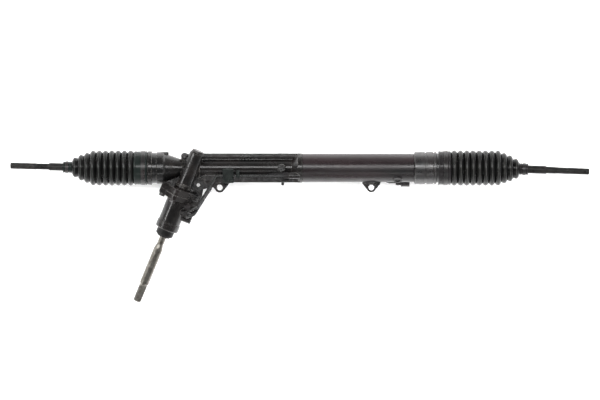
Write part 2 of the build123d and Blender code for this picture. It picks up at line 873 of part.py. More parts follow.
def make_gusset():
    """Plate that ties the barrel and flange to the lower rail, with its lightening hole and rib."""
    outline = [
        (pinion_x + 9, rack_setback - 4),
        (casting_start + 42, rack_setback - 17),
        (casting_start + 36, rack_setback - 34),
        (casting_start + 23, rack_setback - 41),
        (casting_start + 2, rack_setback - 45),
        (pinion_x + 12, rack_setback - 52),
        (pinion_x - 8, rack_setback - 40),
    ]
    plate = extrude(make_face(Polyline(*outline, close=True)), 2 * gusset_half_depth)
    plate = Pos(0, 0, rack_height - gusset_half_depth) * plate
    rib_low = (pinion_x + 16, rack_setback - 25, rack_height)
    rib_high = (casting_start + 30, rack_setback - 20, rack_height + rail_half_depth - 1)
    return plate + block(rib_low, rib_high)


def make_barrel():
    """Pinion barrel with three rings where it meets the flange."""
    neck_end = flange_joint - flange_thickness
    profile = [
        (barrel_start, 0),
        (barrel_start, barrel_radius - 2.5),
        (barrel_start + 3, barrel_radius - 0.5),
        (barrel_start + 12, barrel_radius),
    ]
    first_ring = neck_end - (barrel_ring_count + 0.6) * barrel_ring_pitch
    for i in range(barrel_ring_count):
        start = first_ring + i * barrel_ring_pitch
        end = start + barrel_ring_pitch / 2
        crest = barrel_ring_radius + i
        profile += [(start, barrel_radius), (start, crest), (end, crest), (end, barrel_radius)]
    profile += [
        (neck_end - barrel_ring_pitch / 2, barrel_radius),
        (neck_end + 1, flange_hub - 2),
        (flange_joint - 2, flange_hub - 2),
        (flange_joint - 2, 0),
    ]
    return on_tower * lathe(*profile)


def make_vent_lug():
    """Lug behind the barrel for the breather, and the small cable lug on the cone."""
    lug = make_hull(
        (Pos(vent_x, vent_y) * Circle(vent_boss_radius)).edges()
        + (Pos(vent_x + vent_lug, vent_y - 2) * Circle(vent_boss_radius - 1)).edges()
    )
    lug = Pos(0, 0, rack_height - vent_boss_half) * extrude(lug, 2 * vent_boss_half)
    half = vent_boss_half - 4
    web_low = (vent_x - vent_boss_radius, rack_setback + 8, rack_height - half)
    web_high = (vent_x + vent_boss_radius + vent_lug, vent_y, rack_height + half)
    cable_low = (cable_lug_x, rack_setback + 24, rack_height - half)
    cable_high = (cable_lug_x + cable_lug_width, rack_setback + cable_lug_rise, rack_height + half)
    return lug + block(web_low, web_high) + block(cable_low, cable_high)


def make_gear_housing():
    """The casting: left end, neck, pinion barrel, flange, yoke boss, ribbed middle and ear."""
    flange = on_tower * lobed_plate(
        flange_joint - flange_thickness, flange_joint, flange_hub, flange_bolt_points(), flange_lobe
    )
    yoke_boss = on_yoke * lathe(
        (0, 0),
        (0, yoke_boss_radius),
        (yoke_boss_end - 1.5, yoke_boss_radius),
        (yoke_boss_end, yoke_boss_radius - 1.5),
        (yoke_boss_end, 0),
    )
    bridge = on_rack * Pos(centre_distance / 2, 0, pinion_x) * Box(centre_distance, 2 * barrel_radius, 36)
    spigot = on_rack * lathe(
        (tube_start - 2, 0),
        (tube_start - 2, tube_bore - running),
        (cylinder_spigot_end - 1, tube_bore - running),
        (cylinder_spigot_end, tube_bore - 1),
        (cylinder_spigot_end, 0),
    )
    housing = make_left_end() + make_barrel() + flange + yoke_boss + bridge + make_vent_lug()
    housing += make_centre_casting() + make_left_ear() + make_gusset() + spigot
    inner_boss = Pos(0, line_y, inner_port_z) * Rot(0, 90, 0)
    housing += inner_boss * rod(inner_boss_start, casting_end, line_boss_radius)
    housing -= inner_boss * rod(inner_boss_start - 1, inner_boss_start + union_seat, line_radius + line_fit)
    # bores along the rack
    housing -= on_rack * rod(-spigot_end - 1, cylinder_spigot_end + 1, rack_bore)
    housing -= on_rack * rod(-spigot_end - 1, -stop_face, socket_well)
    housing -= on_rack * rod(-stop_face - 1, -stop_face + bush_length, bush_outer)
    housing -= on_rack * rod(inner_gland, cylinder_spigot_end + 1, gland_radius)
    # bores along the tower and into the yoke
    seal_inner = upper_bearing_outer + 1
    seal_floor = flange_joint - flange_seal_depth
    housing -= on_tower * rod(lower_journal_end - 3, flange_joint + 1, pinion_bore)
    housing -= on_tower * rod(barrel_start - 1, lower_journal_end - cap_seat, cap_radius)
    housing -= on_tower * rod(upper_bearing_start, flange_joint + 1, upper_bearing_outer)
    housing -= on_tower * ring(seal_floor, flange_joint + 1, seal_inner, seal_inner + flange_seal_width)
    housing -= on_yoke * rod(0, yoke_boss_end + 1, yoke_radius + running)
    housing -= on_yoke * rod(plug_start, yoke_boss_end + 1, plug_radius)
    for x, y in flange_bolt_points():
        housing -= on_tower * Pos(x, y, flange_joint) * Cylinder(flange_bolt_radius, 2 * flange_thickness + 2)
    gusset_hole = Pos(casting_start - 8, rack_setback - 36, rack_height)
    housing -= gusset_hole * Cylinder(gusset_hole_radius, 3 * gusset_half_depth)
    housing -= Pos(-ear_spacing / 2, 0, 0) * Cylinder(ear_hole_radius, 4 * ear_thickness)
    vent_mouth = Pos(vent_x, vent_y, rack_height)
    housing -= vent_mouth * rod(0, vent_boss_half + 1, vent_bolt_radius)
    return housing


def make_cylinder_tube():
    """Power cylinder tube, with the pad of its outer port and the block that takes the line."""
    block_line = round_tube(0, outer_block_angle, tube_radius + outer_block_standoff)
    block_line = Pos(0, block_line.Y, block_line.Z) * Rot(0, 90, 0)
    block_end = outer_block_start + outer_block_length
    port_block = block_line * rod(outer_block_start, block_end, outer_block_radius)
    line_hole = line_radius + line_fit
    port_block -= block_line * rod(outer_block_start - 1, outer_block_start + union_seat, line_hole)
    pad_way = radians(port_pad_angle)
    pad_plane = Plane(origin=(port_pad_x, rack_setback, rack_height), z_dir=(0, -sin(pad_way), cos(pad_way)))
    pad_top = tube_radius + port_pad_height
    pad = pad_plane.location * rod(tube_bore + 2, pad_top, port_pad_radius)
    pad -= pad_plane.location * rod(tube_radius + 0.6, pad_top + 1, port_pad_dish)
    fittings = port_block + pad - on_rack * rod(tube_start, tube_end, tube_radius - tube_skin)
    return fittings + on_rack * lathe(
        (tube_start, tube_bore),
        (tube_start, tube_radius - 1),
        (tube_start + 1, tube_radius),
        (tube_end - 1, tube_radius),
        (tube_end, tube_radius - 1),
        (tube_end, tube_bore),
    )


def make_cylinder_bracket():
    """Right mounting bracket: a saddle on the tube with a triangular ear."""
    x = ear_spacing / 2
    root = Pos(x, rack_setback - tube_radius) * Rectangle(bracket_root_width, 2 * saddle_thickness)
    outline = make_hull((Pos(x, 0) * Circle(bracket_ear_radius)).edges() + root.edges())
    ear = extrude(outline, ear_thickness)
    saddle_outer = tube_radius + saddle_thickness
    saddle = on_rack * ring(x - saddle_half, x + saddle_half, tube_radius - 1, saddle_outer)
    near_side = block(
        (x - saddle_half - 1, rack_setback - saddle_outer - 1, rack_height - 20),
        (x + saddle_half + 1, rack_setback - 13, rack_height + 2),
    )
    bracket = ear + (saddle & near_side)
    bracket -= on_rack * rod(x - 2 * saddle_half, x + 2 * saddle_half, tube_radius + line_fit / 5)
    return bracket - Pos(x, 0, 0) * Cylinder(ear_hole_radius, 4 * ear_thickness)


def make_end_collar():
    """Gland and boot spigot that closes the right end of the cylinder, with two grooves in its rim."""
    reach = right_spigot_end - tube_end

    def rim(part):
        return tube_end + part * reach

    body = lathe(
        (gland_start, 0),
        (gland_start, tube_bore - 1),
        (gland_start + 1, tube_bore - running),
        (tube_end, tube_bore - running),
        (tube_end, collar_radius - 2),
        (rim(0.02), collar_radius),
        (rim(0.29), collar_radius),
        (rim(0.30), collar_groove_radius),
        (rim(0.34), collar_groove_radius),
        (rim(0.35), collar_radius),
        (rim(0.52), collar_radius),
        (rim(0.53), collar_groove_radius),
        (rim(0.56), collar_groove_radius),
        (rim(0.57), collar_radius),
        (rim(0.61), collar_radius),
        (rim(0.63), spigot_radius),
        (right_spigot_end - 1, spigot_radius),
        (right_spigot_end, spigot_radius - 1),
        (right_spigot_end, 0),
    )
    body -= rod(gland_start - 1, right_spigot_end + 1, rack_bore)
    body -= rod(stop_face, right_spigot_end + 1, socket_well)
    body -= rod(gland_start - 1, outer_gland, gland_radius)
    body -= rod(stop_face - bush_length, stop_face + 1, bush_outer)
    return on_rack * body


def make_bush(start, end, outer):
    """Plain bush that guides the rack bar."""
    return on_rack * lathe(
        (start, bar_radius + running),
        (start, outer - 0.6),
        (start + 0.6, outer),
        (end - 0.6, outer),
        (end, outer - 0.6),
        (end, bar_radius + running),
    )


def make_rod_seal(start, end):
    """Lip seal on the rack bar: a cupped ring, open towards the pressure side."""
    middle = (start + end) / 2
    lip = bar_radius + running
    return on_rack * lathe(
        (start, lip), (start, gland_radius), (end, gland_radius), (end, gland_radius - 1.4),
        (middle, gland_radius - 1.8), (middle, lip + 1.4), (end, lip + 1.0), (end, lip),
    )


# ================================================================ pinion bearings, yoke and valve housing

def make_pinion_end_cap():
    """Plug with a hexagon head that closes the barrel at the pinion's lower bearing."""
    head = hexagon(barrel_start - cap_hex_height, barrel_start, cap_hex_radius)
    head &= lathe(
        (barrel_start - cap_hex_height, 0),
        (barrel_start - cap_hex_height, cap_hex_radius - 2.2),
        (barrel_start - cap_hex_height + 1.2, cap_hex_radius),
        (barrel_start, cap_hex_radius),
        (barrel_start, 0),
    )
    return on_tower * (head + rod(barrel_start - 1, lower_journal_end - cap_seat, cap_radius - running))


def make_lower_bearing():
    """Needle bearing at the pinion's lower journal."""
    end = -pinion_face / 2 - 3
    return on_tower * ring(lower_journal_end, end, lower_journal_radius + running, pinion_bore)


def make_upper_bearing():
    """Sealed ball bearing at the pinion's upper journal, with a dished shield on each side."""
    inner = upper_journal_radius + running
    shield_low = inner + 2.5
    shield_high = upper_bearing_outer - 2.5
    return on_tower * lathe(
        (upper_bearing_start, inner),
        (upper_bearing_start, shield_low),
        (upper_bearing_start + 0.8, shield_low + 0.5),
        (upper_bearing_start + 0.8, shield_high - 0.5),
        (upper_bearing_start, shield_high),
        (upper_bearing_start, upper_bearing_outer),
        (upper_bearing_end, upper_bearing_outer),
        (upper_bearing_end, shield_high),
        (upper_bearing_end - 0.8, shield_high - 0.5),
        (upper_bearing_end - 0.8, shield_low + 0.5),
        (upper_bearing_end, shield_low),
        (upper_bearing_end, inner),
    )


def make_flange_seal():
    """Sealing ring in the joint between the two flanges."""
    inner = upper_bearing_outer + 1
    return on_tower * ring(flange_joint - flange_seal_depth, flange_joint, inner, inner + flange_seal_width)


def make_yoke():
    """Rack support yoke: a slipper with a hollow face for the bar and a pocket for its spring."""
    body = rod(yoke_start, yoke_end, yoke_radius)
    cradle = across(0, bar_radius + running + liner_thickness + liner_ease, 4 * yoke_radius)
    pocket = rod(spring_seat, yoke_end + 1, spring_radius + spring_wire + ring_play)
    groove = ring(yoke_end - 3.5, yoke_end - 1.5, yoke_radius - 1.2, yoke_radius + 1)
    return on_yoke * (body - cradle - groove - pocket)


def make_yoke_liner():
    """Thin low-friction liner between the yoke and the bar."""
    sheet = rod(yoke_start, yoke_end, yoke_radius - 0.5)
    outer = across(0, bar_radius + running + liner_thickness, 4 * yoke_radius)
    inner = across(0, bar_radius + running, 4 * yoke_radius)
    return on_yoke * ((sheet & outer) - inner)


def make_yoke_spring():
    """Coil spring between the yoke and its plug."""
    low = spring_seat + spring_wire
    high = plug_floor - spring_wire
    path = Helix((high - low) / spring_turns, high - low, spring_radius - spring_wire / 2)
    start = path @ 0
    section = Plane(origin=start, z_dir=path % 0) * Circle(spring_wire)
    return on_yoke * Pos(0, 0, low) * sweep(section, path=path, is_frenet=True)


def make_yoke_plug():
    """Adjuster plug with a hexagon socket."""
    body = lathe(
        (plug_start, plug_radius - plug_wall),
        (plug_start, plug_radius - running),
        (yoke_boss_end - 1, plug_radius - running),
        (yoke_boss_end, plug_radius - 1),
        (yoke_boss_end, 0),
        (plug_floor, 0),
        (plug_floor, plug_radius - plug_wall),
    )
    socket = hexagon(plug_floor + plug_wall / 2, yoke_boss_end + 1, plug_hex_radius)
    return on_yoke * (body - socket)


def toward_line(height):
    """Frame on the tower's axis at a line port, with local Z out along the port."""
    return Rot(0, 0, -line_port_angle) * Pos(0, 0, height) * Rot(0, 90, 0)


def toward_supply(height):
    """Frame on the tower's axis at a supply port, with local Z out along the port."""
    return Pos(0, 0, height) * Rot(90, 0, 0)


def make_valve_housing():
    """Valve housing: flange, turned body, two supply ports at the side and two line ports in front."""
    slim = valve_body_radius - 1.5
    flange_end = flange_joint + valve_flange_thickness
    body = lathe(
        (flange_joint, 0),
        (flange_joint, flange_hub),
        (flange_end, flange_hub),
        (flange_end + 1.5, slim),
        (valve_body_end - valve_band - 1, slim),
        (valve_body_end - valve_band, valve_body_radius),
        (valve_body_end - 2, valve_body_radius),
        (valve_body_end, valve_body_radius - 2),
        (valve_body_end, 0),
    )
    body += lobed_plate(flange_joint, flange_end, flange_hub, flange_bolt_points(), flange_lobe)
    for height in port_heights:
        body += toward_supply(height) * rod(0, port_reach, port_boss_radius)
    for height in line_port_heights:
        body += toward_line(height) * rod(0, line_port_reach, line_boss_radius)
    body -= rod(flange_joint - 1, bearing_start - 1, valve_bore)
    body -= rod(bearing_start - 2, seal_start, bearing_outer)
    body -= rod(seal_start, valve_body_end + 1, seal_outer)
    for height in port_heights:
        body -= toward_supply(height) * rod(port_reach - port_depth, port_reach + 1, port_bore)
    for height in line_port_heights:
        seat = rod(line_port_reach - union_seat, line_port_reach + 1, line_radius + line_fit)
        body -= toward_line(height) * seat
    for x, y in flange_bolt_points():
        body -= Pos(x, y, flange_joint) * Cylinder(flange_bolt_radius, 4 * valve_flange_thickness)
    return on_tower * body


def make_flange_bolts():
    """Three hexagon bolts through the valve flange."""
    head_start = flange_joint + valve_flange_thickness
    shank_start = flange_joint - flange_thickness + 1
    bolts = []
    for x, y in flange_bolt_points():
        washer_end = head_start + bolt_washer_thickness
        shank = rod(shank_start, head_start + 1, flange_bolt_radius - bolt_fit)
        washer = rod(head_start, washer_end, bolt_head_radius + 0.5)
        head = hexagon(washer_end, washer_end + bolt_head_height, bolt_head_radius)
        bolts.append(on_tower * Pos(x, y, 0) * (shank + washer + head))
    return bolts


def make_input_bearing():
    """Needle bearing for the input shaft."""
    return on_tower * ring(bearing_start, bearing_end, stub_radius + running, bearing_outer)


def make_input_seal():
    """Lip seal round the input shaft."""
    inner = stub_radius + running
    return on_tower * lathe(
        (seal_start, inner + 1.5), (seal_start, seal_outer), (seal_end, seal_outer), (seal_end, inner),
        (seal_end - 2, inner), (seal_end - 2, seal_outer - 2), (seal_start + 2, seal_outer - 2),
        (seal_start + 2, inner + 1.5),
    )


def make_retaining_ring():
    """Snap ring that keeps the seal in place, open at one side."""
    band = ring(seal_end + 0.3, seal_end + 1.8, seal_outer - 3, seal_outer)
    opening = Pos(seal_outer, 0, seal_end + 1) * Box(2 * seal_outer - 6, 6, 4)
    return on_tower * (band - opening)


def make_dust_cap():
    """Rubber dust cap pressed on the end of the valve housing, round the input shaft."""
    start = valve_body_end
    inner = stub_radius + running
    return on_tower * lathe(
        (start, inner + 4),
        (start, dust_cap_radius),
        (dust_cap_end - 5, dust_cap_radius),
        (dust_cap_end - 3.5, dust_cap_radius - 1),
        (dust_cap_end - 3.5, dust_cap_radius - 3.5),
        (dust_cap_end, dust_cap_radius - 5),
        (dust_cap_end, inner),
        (dust_cap_end - 3, inner),
        (dust_cap_end - 5, inner + 4),
    )


pieces["pinion_end_cap"] = make_pinion_end_cap()
pieces["pinion_lower_bearing"] = make_lower_bearing()
pieces["pinion_upper_bearing"] = make_upper_bearing()
pieces["flange_seal"] = make_flange_seal()
pieces["rack_support_yoke"] = make_yoke()
pieces["yoke_liner"] = make_yoke_liner()
pieces["yoke_spring"] = make_yoke_spring()
pieces["yoke_plug"] = make_yoke_plug()
pieces["valve_housing"] = make_valve_housing()
pieces["valve_flange_bolts"] = make_flange_bolts()
pieces["input_shaft_bearing"] = make_input_bearing()
pieces["input_shaft_seal"] = make_input_seal()
pieces["seal_retaining_ring"] = make_retaining_ring()
pieces["dust_cap"] = make_dust_cap()


# ================================================================ pressure lines, unions, clips and plugs

def valve_line_port(height):
    """Mouth of a line port on the valve housing, and the way its line comes out."""
    mouth = (on_tower * toward_line(height) * Pos(0, 0, line_port_reach)).position
    foot = (on_tower * toward_line(height)).position
    return mouth, (mouth - foot).normalized()


def line_route(height, waypoints):
    """Centre line of a line that starts in a valve port and follows its waypoints."""
    mouth, way_out = valve_line_port(height)
    points = [mouth - way_out * union_seat, mouth + way_out * port_run] + waypoints
    return FilletPolyline(*points, radius=bend_radius)


def make_line(route):
    """Steel tube along its centre line."""
    section = Plane(origin=route @ 0, z_dir=route % 0) * Circle(line_radius)
    return sweep(section, path=route)


short_line_end = Vector(inner_boss_start + union_seat, line_y, inner_port_z)
long_line_end = round_tube(
    outer_block_start + union_seat, outer_block_angle, tube_radius + outer_block_standoff
)
back_end = round_tube(outer_block_start - 44, back_line_angle, back_line_radius)
back_line = Vector(0, back_end.Y, back_end.Z)

# the short line lies along the front of the lower rail
short_route = line_route(
    line_port_heights[0],
    [
        Vector(pinion_x + 39.5, 0, line_z + 7.6),
        Vector(pinion_x + 53.5, line_y, line_z),
        Vector(inner_boss_start - 46, line_y, line_z),
        short_line_end - Vector(27, 0, 0),
        short_line_end,
    ],
)
# the long line drops beside the gusset and runs along the back to the far end of the cylinder
long_route = line_route(
    line_port_heights[1],
    [
        Vector(pinion_x + 36.5, -9.5, line_z - 4),
        Vector(pinion_x + 36.5, -9.5, back_line.Z),
        back_line + Vector(pinion_x + 53.5, 0, 0),
        back_end,
        long_line_end - Vector(34, 0, 0),
        long_line_end,
    ],
)


def make_union(mouth, way_out):
    """Hexagon union nut round a line, seated on its boss."""
    nut = hexagon(line_fit, union_length, union_hex_radius)
    nut -= rod(-1, union_length + 1, line_radius + line_fit)
    return Plane(origin=mouth, z_dir=way_out).location * nut


def make_unions():
    """The four union nuts, two on the valve housing and one at each cylinder port."""
    ports = [valve_line_port(height) for height in line_port_heights]
    ports.append((short_line_end - Vector(union_seat, 0, 0), Vector(-1, 0, 0)))
    ports.append((long_line_end - Vector(union_seat, 0, 0), Vector(-1, 0, 0)))
    return [make_union(mouth, way_out) for mouth, way_out in ports]


def make_line_clip(start, length, low_y, high_y, height):
    """Plastic clip that holds the line down on the casting."""
    floor = rack_height + rail_half_depth
    clip = block((start, low_y, floor), (start + length, high_y, floor + height))
    clip = fillet(clip.edges().filter_by(Axis.X), clip_round)
    clip -= on_rack * rod(start - 1, start + length + 1, core_radius + line_fit)
    channel = Pos(start - 1, line_y, line_z) * Rot(0, 90, 0) * rod(0, length + 2, line_radius + line_fit)
    return clip - channel


def make_breather():
    """Breather plug in the boss behind the pinion barrel."""
    top = rack_height + vent_boss_half
    return Pos(vent_x, vent_y, 0) * lathe(
        (top - 8, 0),
        (top - 8, vent_bolt_radius - bolt_fit),
        (top, vent_bolt_radius - bolt_fit),
        (top, vent_head_radius),
        (top + 5, vent_head_radius),
        (top + 6, vent_head_radius - 1),
        (top + 6, 0),
    )


pieces["gear_housing"] = make_gear_housing()
pieces["cylinder_tube"] = make_cylinder_tube()
pieces["cylinder_bracket"] = make_cylinder_bracket()
pieces["end_collar"] = make_end_collar()
pieces["left_rack_bush"] = make_bush(-stop_face, -stop_face + bush_length, bush_outer)
pieces["right_rack_bush"] = make_bush(stop_face - bush_length, stop_face, bush_outer)
pieces["inner_rod_seal"] = make_rod_seal(inner_gland, inner_gland + rod_seal_length)
pieces["inner_cylinder_bush"] = make_bush(
    inner_gland + rod_seal_length, cylinder_spigot_end - 1, gland_radius
)
pieces["outer_rod_seal"] = make_rod_seal(outer_gland, outer_gland - rod_seal_length)
pieces["outer_cylinder_bush"] = make_bush(gland_start + 1, outer_gland - rod_seal_length, gland_radius)
pieces["short_pressure_line"] = make_line(short_route)
pieces["long_pressure_line"] = make_line(long_route)
pieces["line_union_nuts"] = make_unions()
pieces["line_clip"] = make_line_clip(clip_start, clip_length, clip_low, clip_high, clip_height)
pieces["small_line_clip"] = make_line_clip(
    clip_start + small_clip_setback, small_clip_length, small_clip_low, small_clip_high, small_clip_height
)
pieces["breather_plug"] = make_breather()


# ================================================================ pieces written out

os.makedirs("parts", exist_ok=True)
for name, shape in pieces.items():
    solids = shape if isinstance(shape, list) else shape.solids()
    solids = [solid for item in solids for solid in item.solids()]
    body = solids[0] if len(solids) == 1 else Compound(children=solids)
    export_step(body, f"parts/{name}.step")
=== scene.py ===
# %% [markdown]
# # A power-assisted steering rack, dressed for a studio render
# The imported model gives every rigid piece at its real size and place. This file gives those pieces their
# finishes, and makes the pieces that only look right as fine meshes: the rubber boots, the rolled threads on
# the tie rods, the splined input shaft and some small forms of the castings. Lengths are metres, and +X runs
# along the rack.

# %% Load the frame
import bpy
import json
import numpy as np
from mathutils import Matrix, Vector


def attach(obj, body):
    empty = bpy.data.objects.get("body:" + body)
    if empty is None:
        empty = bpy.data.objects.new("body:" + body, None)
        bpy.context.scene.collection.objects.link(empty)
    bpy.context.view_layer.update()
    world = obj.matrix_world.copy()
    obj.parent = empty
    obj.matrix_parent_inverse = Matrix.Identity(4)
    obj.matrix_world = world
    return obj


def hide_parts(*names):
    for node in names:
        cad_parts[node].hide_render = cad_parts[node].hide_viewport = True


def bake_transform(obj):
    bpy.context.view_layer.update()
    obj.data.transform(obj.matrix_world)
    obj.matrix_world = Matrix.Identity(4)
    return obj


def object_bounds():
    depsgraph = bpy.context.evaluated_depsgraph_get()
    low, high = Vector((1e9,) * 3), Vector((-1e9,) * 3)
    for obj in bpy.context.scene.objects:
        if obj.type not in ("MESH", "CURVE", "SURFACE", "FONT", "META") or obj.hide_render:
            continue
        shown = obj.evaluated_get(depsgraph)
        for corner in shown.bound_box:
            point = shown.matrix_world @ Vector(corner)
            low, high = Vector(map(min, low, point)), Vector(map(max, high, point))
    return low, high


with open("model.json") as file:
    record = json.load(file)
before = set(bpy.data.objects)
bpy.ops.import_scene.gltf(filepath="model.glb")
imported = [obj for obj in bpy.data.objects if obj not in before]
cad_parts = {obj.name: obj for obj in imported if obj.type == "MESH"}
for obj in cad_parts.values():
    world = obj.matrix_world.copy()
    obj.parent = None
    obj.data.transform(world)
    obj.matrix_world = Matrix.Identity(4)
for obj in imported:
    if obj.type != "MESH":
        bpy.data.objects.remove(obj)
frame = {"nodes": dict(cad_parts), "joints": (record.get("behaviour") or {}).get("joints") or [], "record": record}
solid_low, solid_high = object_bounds()

# %% [markdown]
# ## Where things are
# Everything hangs on a few lines: the rack's axis, the two ball joints, the tower's axis and the two rods.
# The record's joints and mounts hold them, so they are read from there.

# %% Named places
MM = 0.001
joints = {joint["name"]: joint for joint in frame["joints"]}
left_ball = np.array(joints["left_rod_lift"]["pos_m"])
right_ball = np.array(joints["right_rod_lift"]["pos_m"])
balls = {"left": left_ball, "right": right_ball}
tower_foot = np.array(joints["pinion_spin"]["pos_m"])
tower_way = np.array(joints["pinion_spin"]["axis"])
rack_y, rack_z = right_ball[1], right_ball[2]
ball_reach = right_ball[0]
mounts = {mount["name"]: mount for mount in frame["record"]["mounts"]}
rod_way = {
    "left": np.array(mounts["left_tie_rod_thread"]["axis"]),
    "right": np.array(mounts["right_tie_rod_thread"]["axis"]),
}
print("ball centres at", left_ball.round(4), right_ball.round(4))

# %% [markdown]
# ## Camera
# The rack lies on a table and is seen straight from above, from far away, so a long lens is used: it keeps
# the tube's edges parallel. One picture element covers 2.1 mm of the object.

# %% Camera
picture_width = 600
picture_height = 400
mm_per_pixel = 2.1
origin_pixel = (295.55, 187.45)      # where the frame's origin falls in the picture
lens = 200.0                         # lens and sensor in millimetres
sensor = 36.0
view_depth = 50.0

centre_x = (picture_width / 2 - origin_pixel[0]) * mm_per_pixel * MM
centre_y = (origin_pixel[1] - picture_height / 2) * mm_per_pixel * MM
distance = picture_width * mm_per_pixel * MM / sensor * lens

camera_data = bpy.data.cameras.new("camera")
camera_data.lens = lens
camera_data.sensor_width = sensor
camera_data.clip_end = view_depth
camera = bpy.data.objects.new("camera", camera_data)
camera.location = (centre_x, centre_y, rack_z + distance)
bpy.context.scene.collection.objects.link(camera)
bpy.context.scene.camera = camera
print("camera at", tuple(round(v, 3) for v in camera.location))

# %% [markdown]
# ## Floor and light
# Black paint shows what it mirrors. A long soft box over the rack lays one pale stripe along the tube, as a
# strip light does in a product studio. A second box, beside the tower, does the same for the valve housing,
# and a thin strip in front draws a faint line low on the tube. Four boxes round the sides whiten the floor;
# they are hidden from reflections, so they don't grey the paint. The sky is white at the horizon and nearly
# black overhead, so surfaces that face up stay dark while the rounded edges turn grey.

# %% Floor
floor_z = solid_low.z
floor_reach = 6.0
floor_brightness = 0.93
floor_roughness = 0.9
floor_glow = 0.25
floor_corners = ((-1, -1), (1, -1), (1, 1), (-1, 1))
floor_mesh = bpy.data.meshes.new("floor")
floor_mesh.from_pydata(
    [(x * floor_reach, y * floor_reach, floor_z) for x, y in floor_corners],
    [],
    [(0, 1, 2, 3)],
)
floor = bpy.data.objects.new("floor", floor_mesh)
bpy.context.scene.collection.objects.link(floor)

floor_paint = bpy.data.materials.new("floor_white")
floor_paint.use_nodes = True
floor_shader = floor_paint.node_tree.nodes["Principled BSDF"]
floor_shader.inputs["Base Color"].default_value = (floor_brightness, floor_brightness, floor_brightness, 1)
floor_shader.inputs["Roughness"].default_value = floor_roughness
floor_shader.inputs["Emission Color"].default_value = (1, 1, 1, 1)
floor_shader.inputs["Emission Strength"].default_value = floor_glow
floor_mesh.materials.append(floor_paint)
print("floor at", round(floor_z, 4))

# %% Lights
def area_light(name, place, aim, size, power):
    """Rectangular soft box at place, turned so that it shines at aim."""
    data = bpy.data.lights.new(name, "AREA")
    data.shape = "RECTANGLE"
    data.size, data.size_y = size
    data.energy = power
    lamp = bpy.data.objects.new(name, data)
    lamp.location = place
    lamp.rotation_euler = (Vector(aim) - Vector(place)).to_track_quat("-Z", "Y").to_euler()
    bpy.context.scene.collection.objects.link(lamp)
    return lamp


strip_setback = 0.36                 # the strip box hangs this far behind the rack
tower_box_side = 2.2
tower_box_height = 1.75
tower_aim_reach = 0.08
beside_tower = np.cross(tower_way, (0.0, 0.0, 1.0))
beside_tower *= -np.sign(beside_tower[0])
tower_place = tuple(tower_foot + tower_box_side * beside_tower + np.array([0.0, 0.0, tower_box_height]))
tower_aim = tuple(tower_foot + tower_aim_reach * tower_way)
rack_aim = (0.0, rack_y, rack_z)
long_side_box = (3.2, 0.9)
end_box = (0.9, 2.2)
side_power = 70
end_power = 44
lights = (                           # name, place, aim, size, watts, seen in reflections
    ("strip_box", (0.0, rack_y + strip_setback, 1.9), rack_aim, (2.8, 0.30), 30, True),
    ("tower_box", tower_place, tower_aim, (1.9, 0.34), 36, True),
    ("front_strip", (-0.25, -1.5, 1.7), rack_aim, (2.6, 0.10), 5, True),
    ("front_box", (0.0, -2.3, 1.5), rack_aim, long_side_box, side_power, False),
    ("back_box", (0.0, 2.6, 1.6), rack_aim, long_side_box, side_power, False),
    ("left_box", (-2.6, 0.0, 1.3), rack_aim, end_box, end_power, False),
    ("right_box", (2.6, 0.0, 1.3), rack_aim, end_box, end_power, False),
)
for name, place, aim, size, power, mirrored in lights:
    area_light(name, place, aim, size, power).visible_glossy = mirrored
print("lights:", [row[0] for row in lights])

# %% Sky
world = bpy.data.worlds.new("studio")
world.use_nodes = True
sky = world.node_tree
way_up = sky.nodes.new("ShaderNodeSeparateXYZ")
sky.links.new(sky.nodes.new("ShaderNodeTexCoord").outputs["Generated"], way_up.inputs["Vector"])
dome = sky.nodes.new("ShaderNodeValToRGB")
dome_levels = ((0.0, 1.0), (0.25, 0.62), (0.50, 0.26), (0.75, 0.09), (1.0, 0.04))   # height, brightness
while len(dome.color_ramp.elements) < len(dome_levels):
    dome.color_ramp.elements.new(0.5)
for stop, (height, level) in zip(dome.color_ramp.elements, dome_levels):
    stop.position = height
    stop.color = (level, level, level, 1.0)
sky.links.new(way_up.outputs["Z"], dome.inputs["Fac"])
sky.links.new(dome.outputs["Color"], sky.nodes["Background"].inputs["Color"])
bpy.context.scene.world = world
bpy.context.scene.view_settings.view_transform = "Standard"
print("sky:", dome_levels[0][1], "at the horizon,", dome_levels[-1][1], "overhead")

# %% [markdown]
# ## Shader helpers
# Each finish is a small network of nodes. These helpers keep the cells short: one adds a node with its
# settings, one makes a noise that reads object coordinates, and one finds sharp edges, where paint wears
# through first and where a painted highlight is laid, by comparing a rounded normal with the true one. A noise
# scale is in waves to the metre, and a colour is linear, with 1 for white.

# %% Node helpers
noise_roughness = 0.6
bevel_samples = 6
flat_lean = 0.985                    # product of rounded and true normal where a surface counts as flat
edge_lean = 0.86                     # and where it counts as a sharp edge


def add(tree, kind, inputs=None, **settings):
    """New shader node with the given properties and input values."""
    node = tree.nodes.new(kind)
    for key, value in settings.items():
        setattr(node, key, value)
    for key, value in (inputs or {}).items():
        node.inputs[key].default_value = value
    return node


def blank_finish(name):
    """New material with its node tree and Principled shader."""
    material = bpy.data.materials.new(name)
    material.use_nodes = True
    return material, material.node_tree, material.node_tree.nodes["Principled BSDF"]


def noise(tree, scale, detail, stretch=(1, 1, 1)):
    """Noise between 0 and 1 on the object's own coordinates, stretched by the mapping's scale."""
    place = add(tree, "ShaderNodeTexCoord")
    mapping = add(tree, "ShaderNodeMapping", {"Scale": stretch})
    settings = {"Scale": scale, "Detail": detail, "Roughness": noise_roughness}
    texture = add(tree, "ShaderNodeTexNoise", settings)
    tree.links.new(place.outputs["Object"], mapping.inputs["Vector"])
    tree.links.new(mapping.outputs["Vector"], texture.inputs["Vector"])
    return texture.outputs["Fac"]


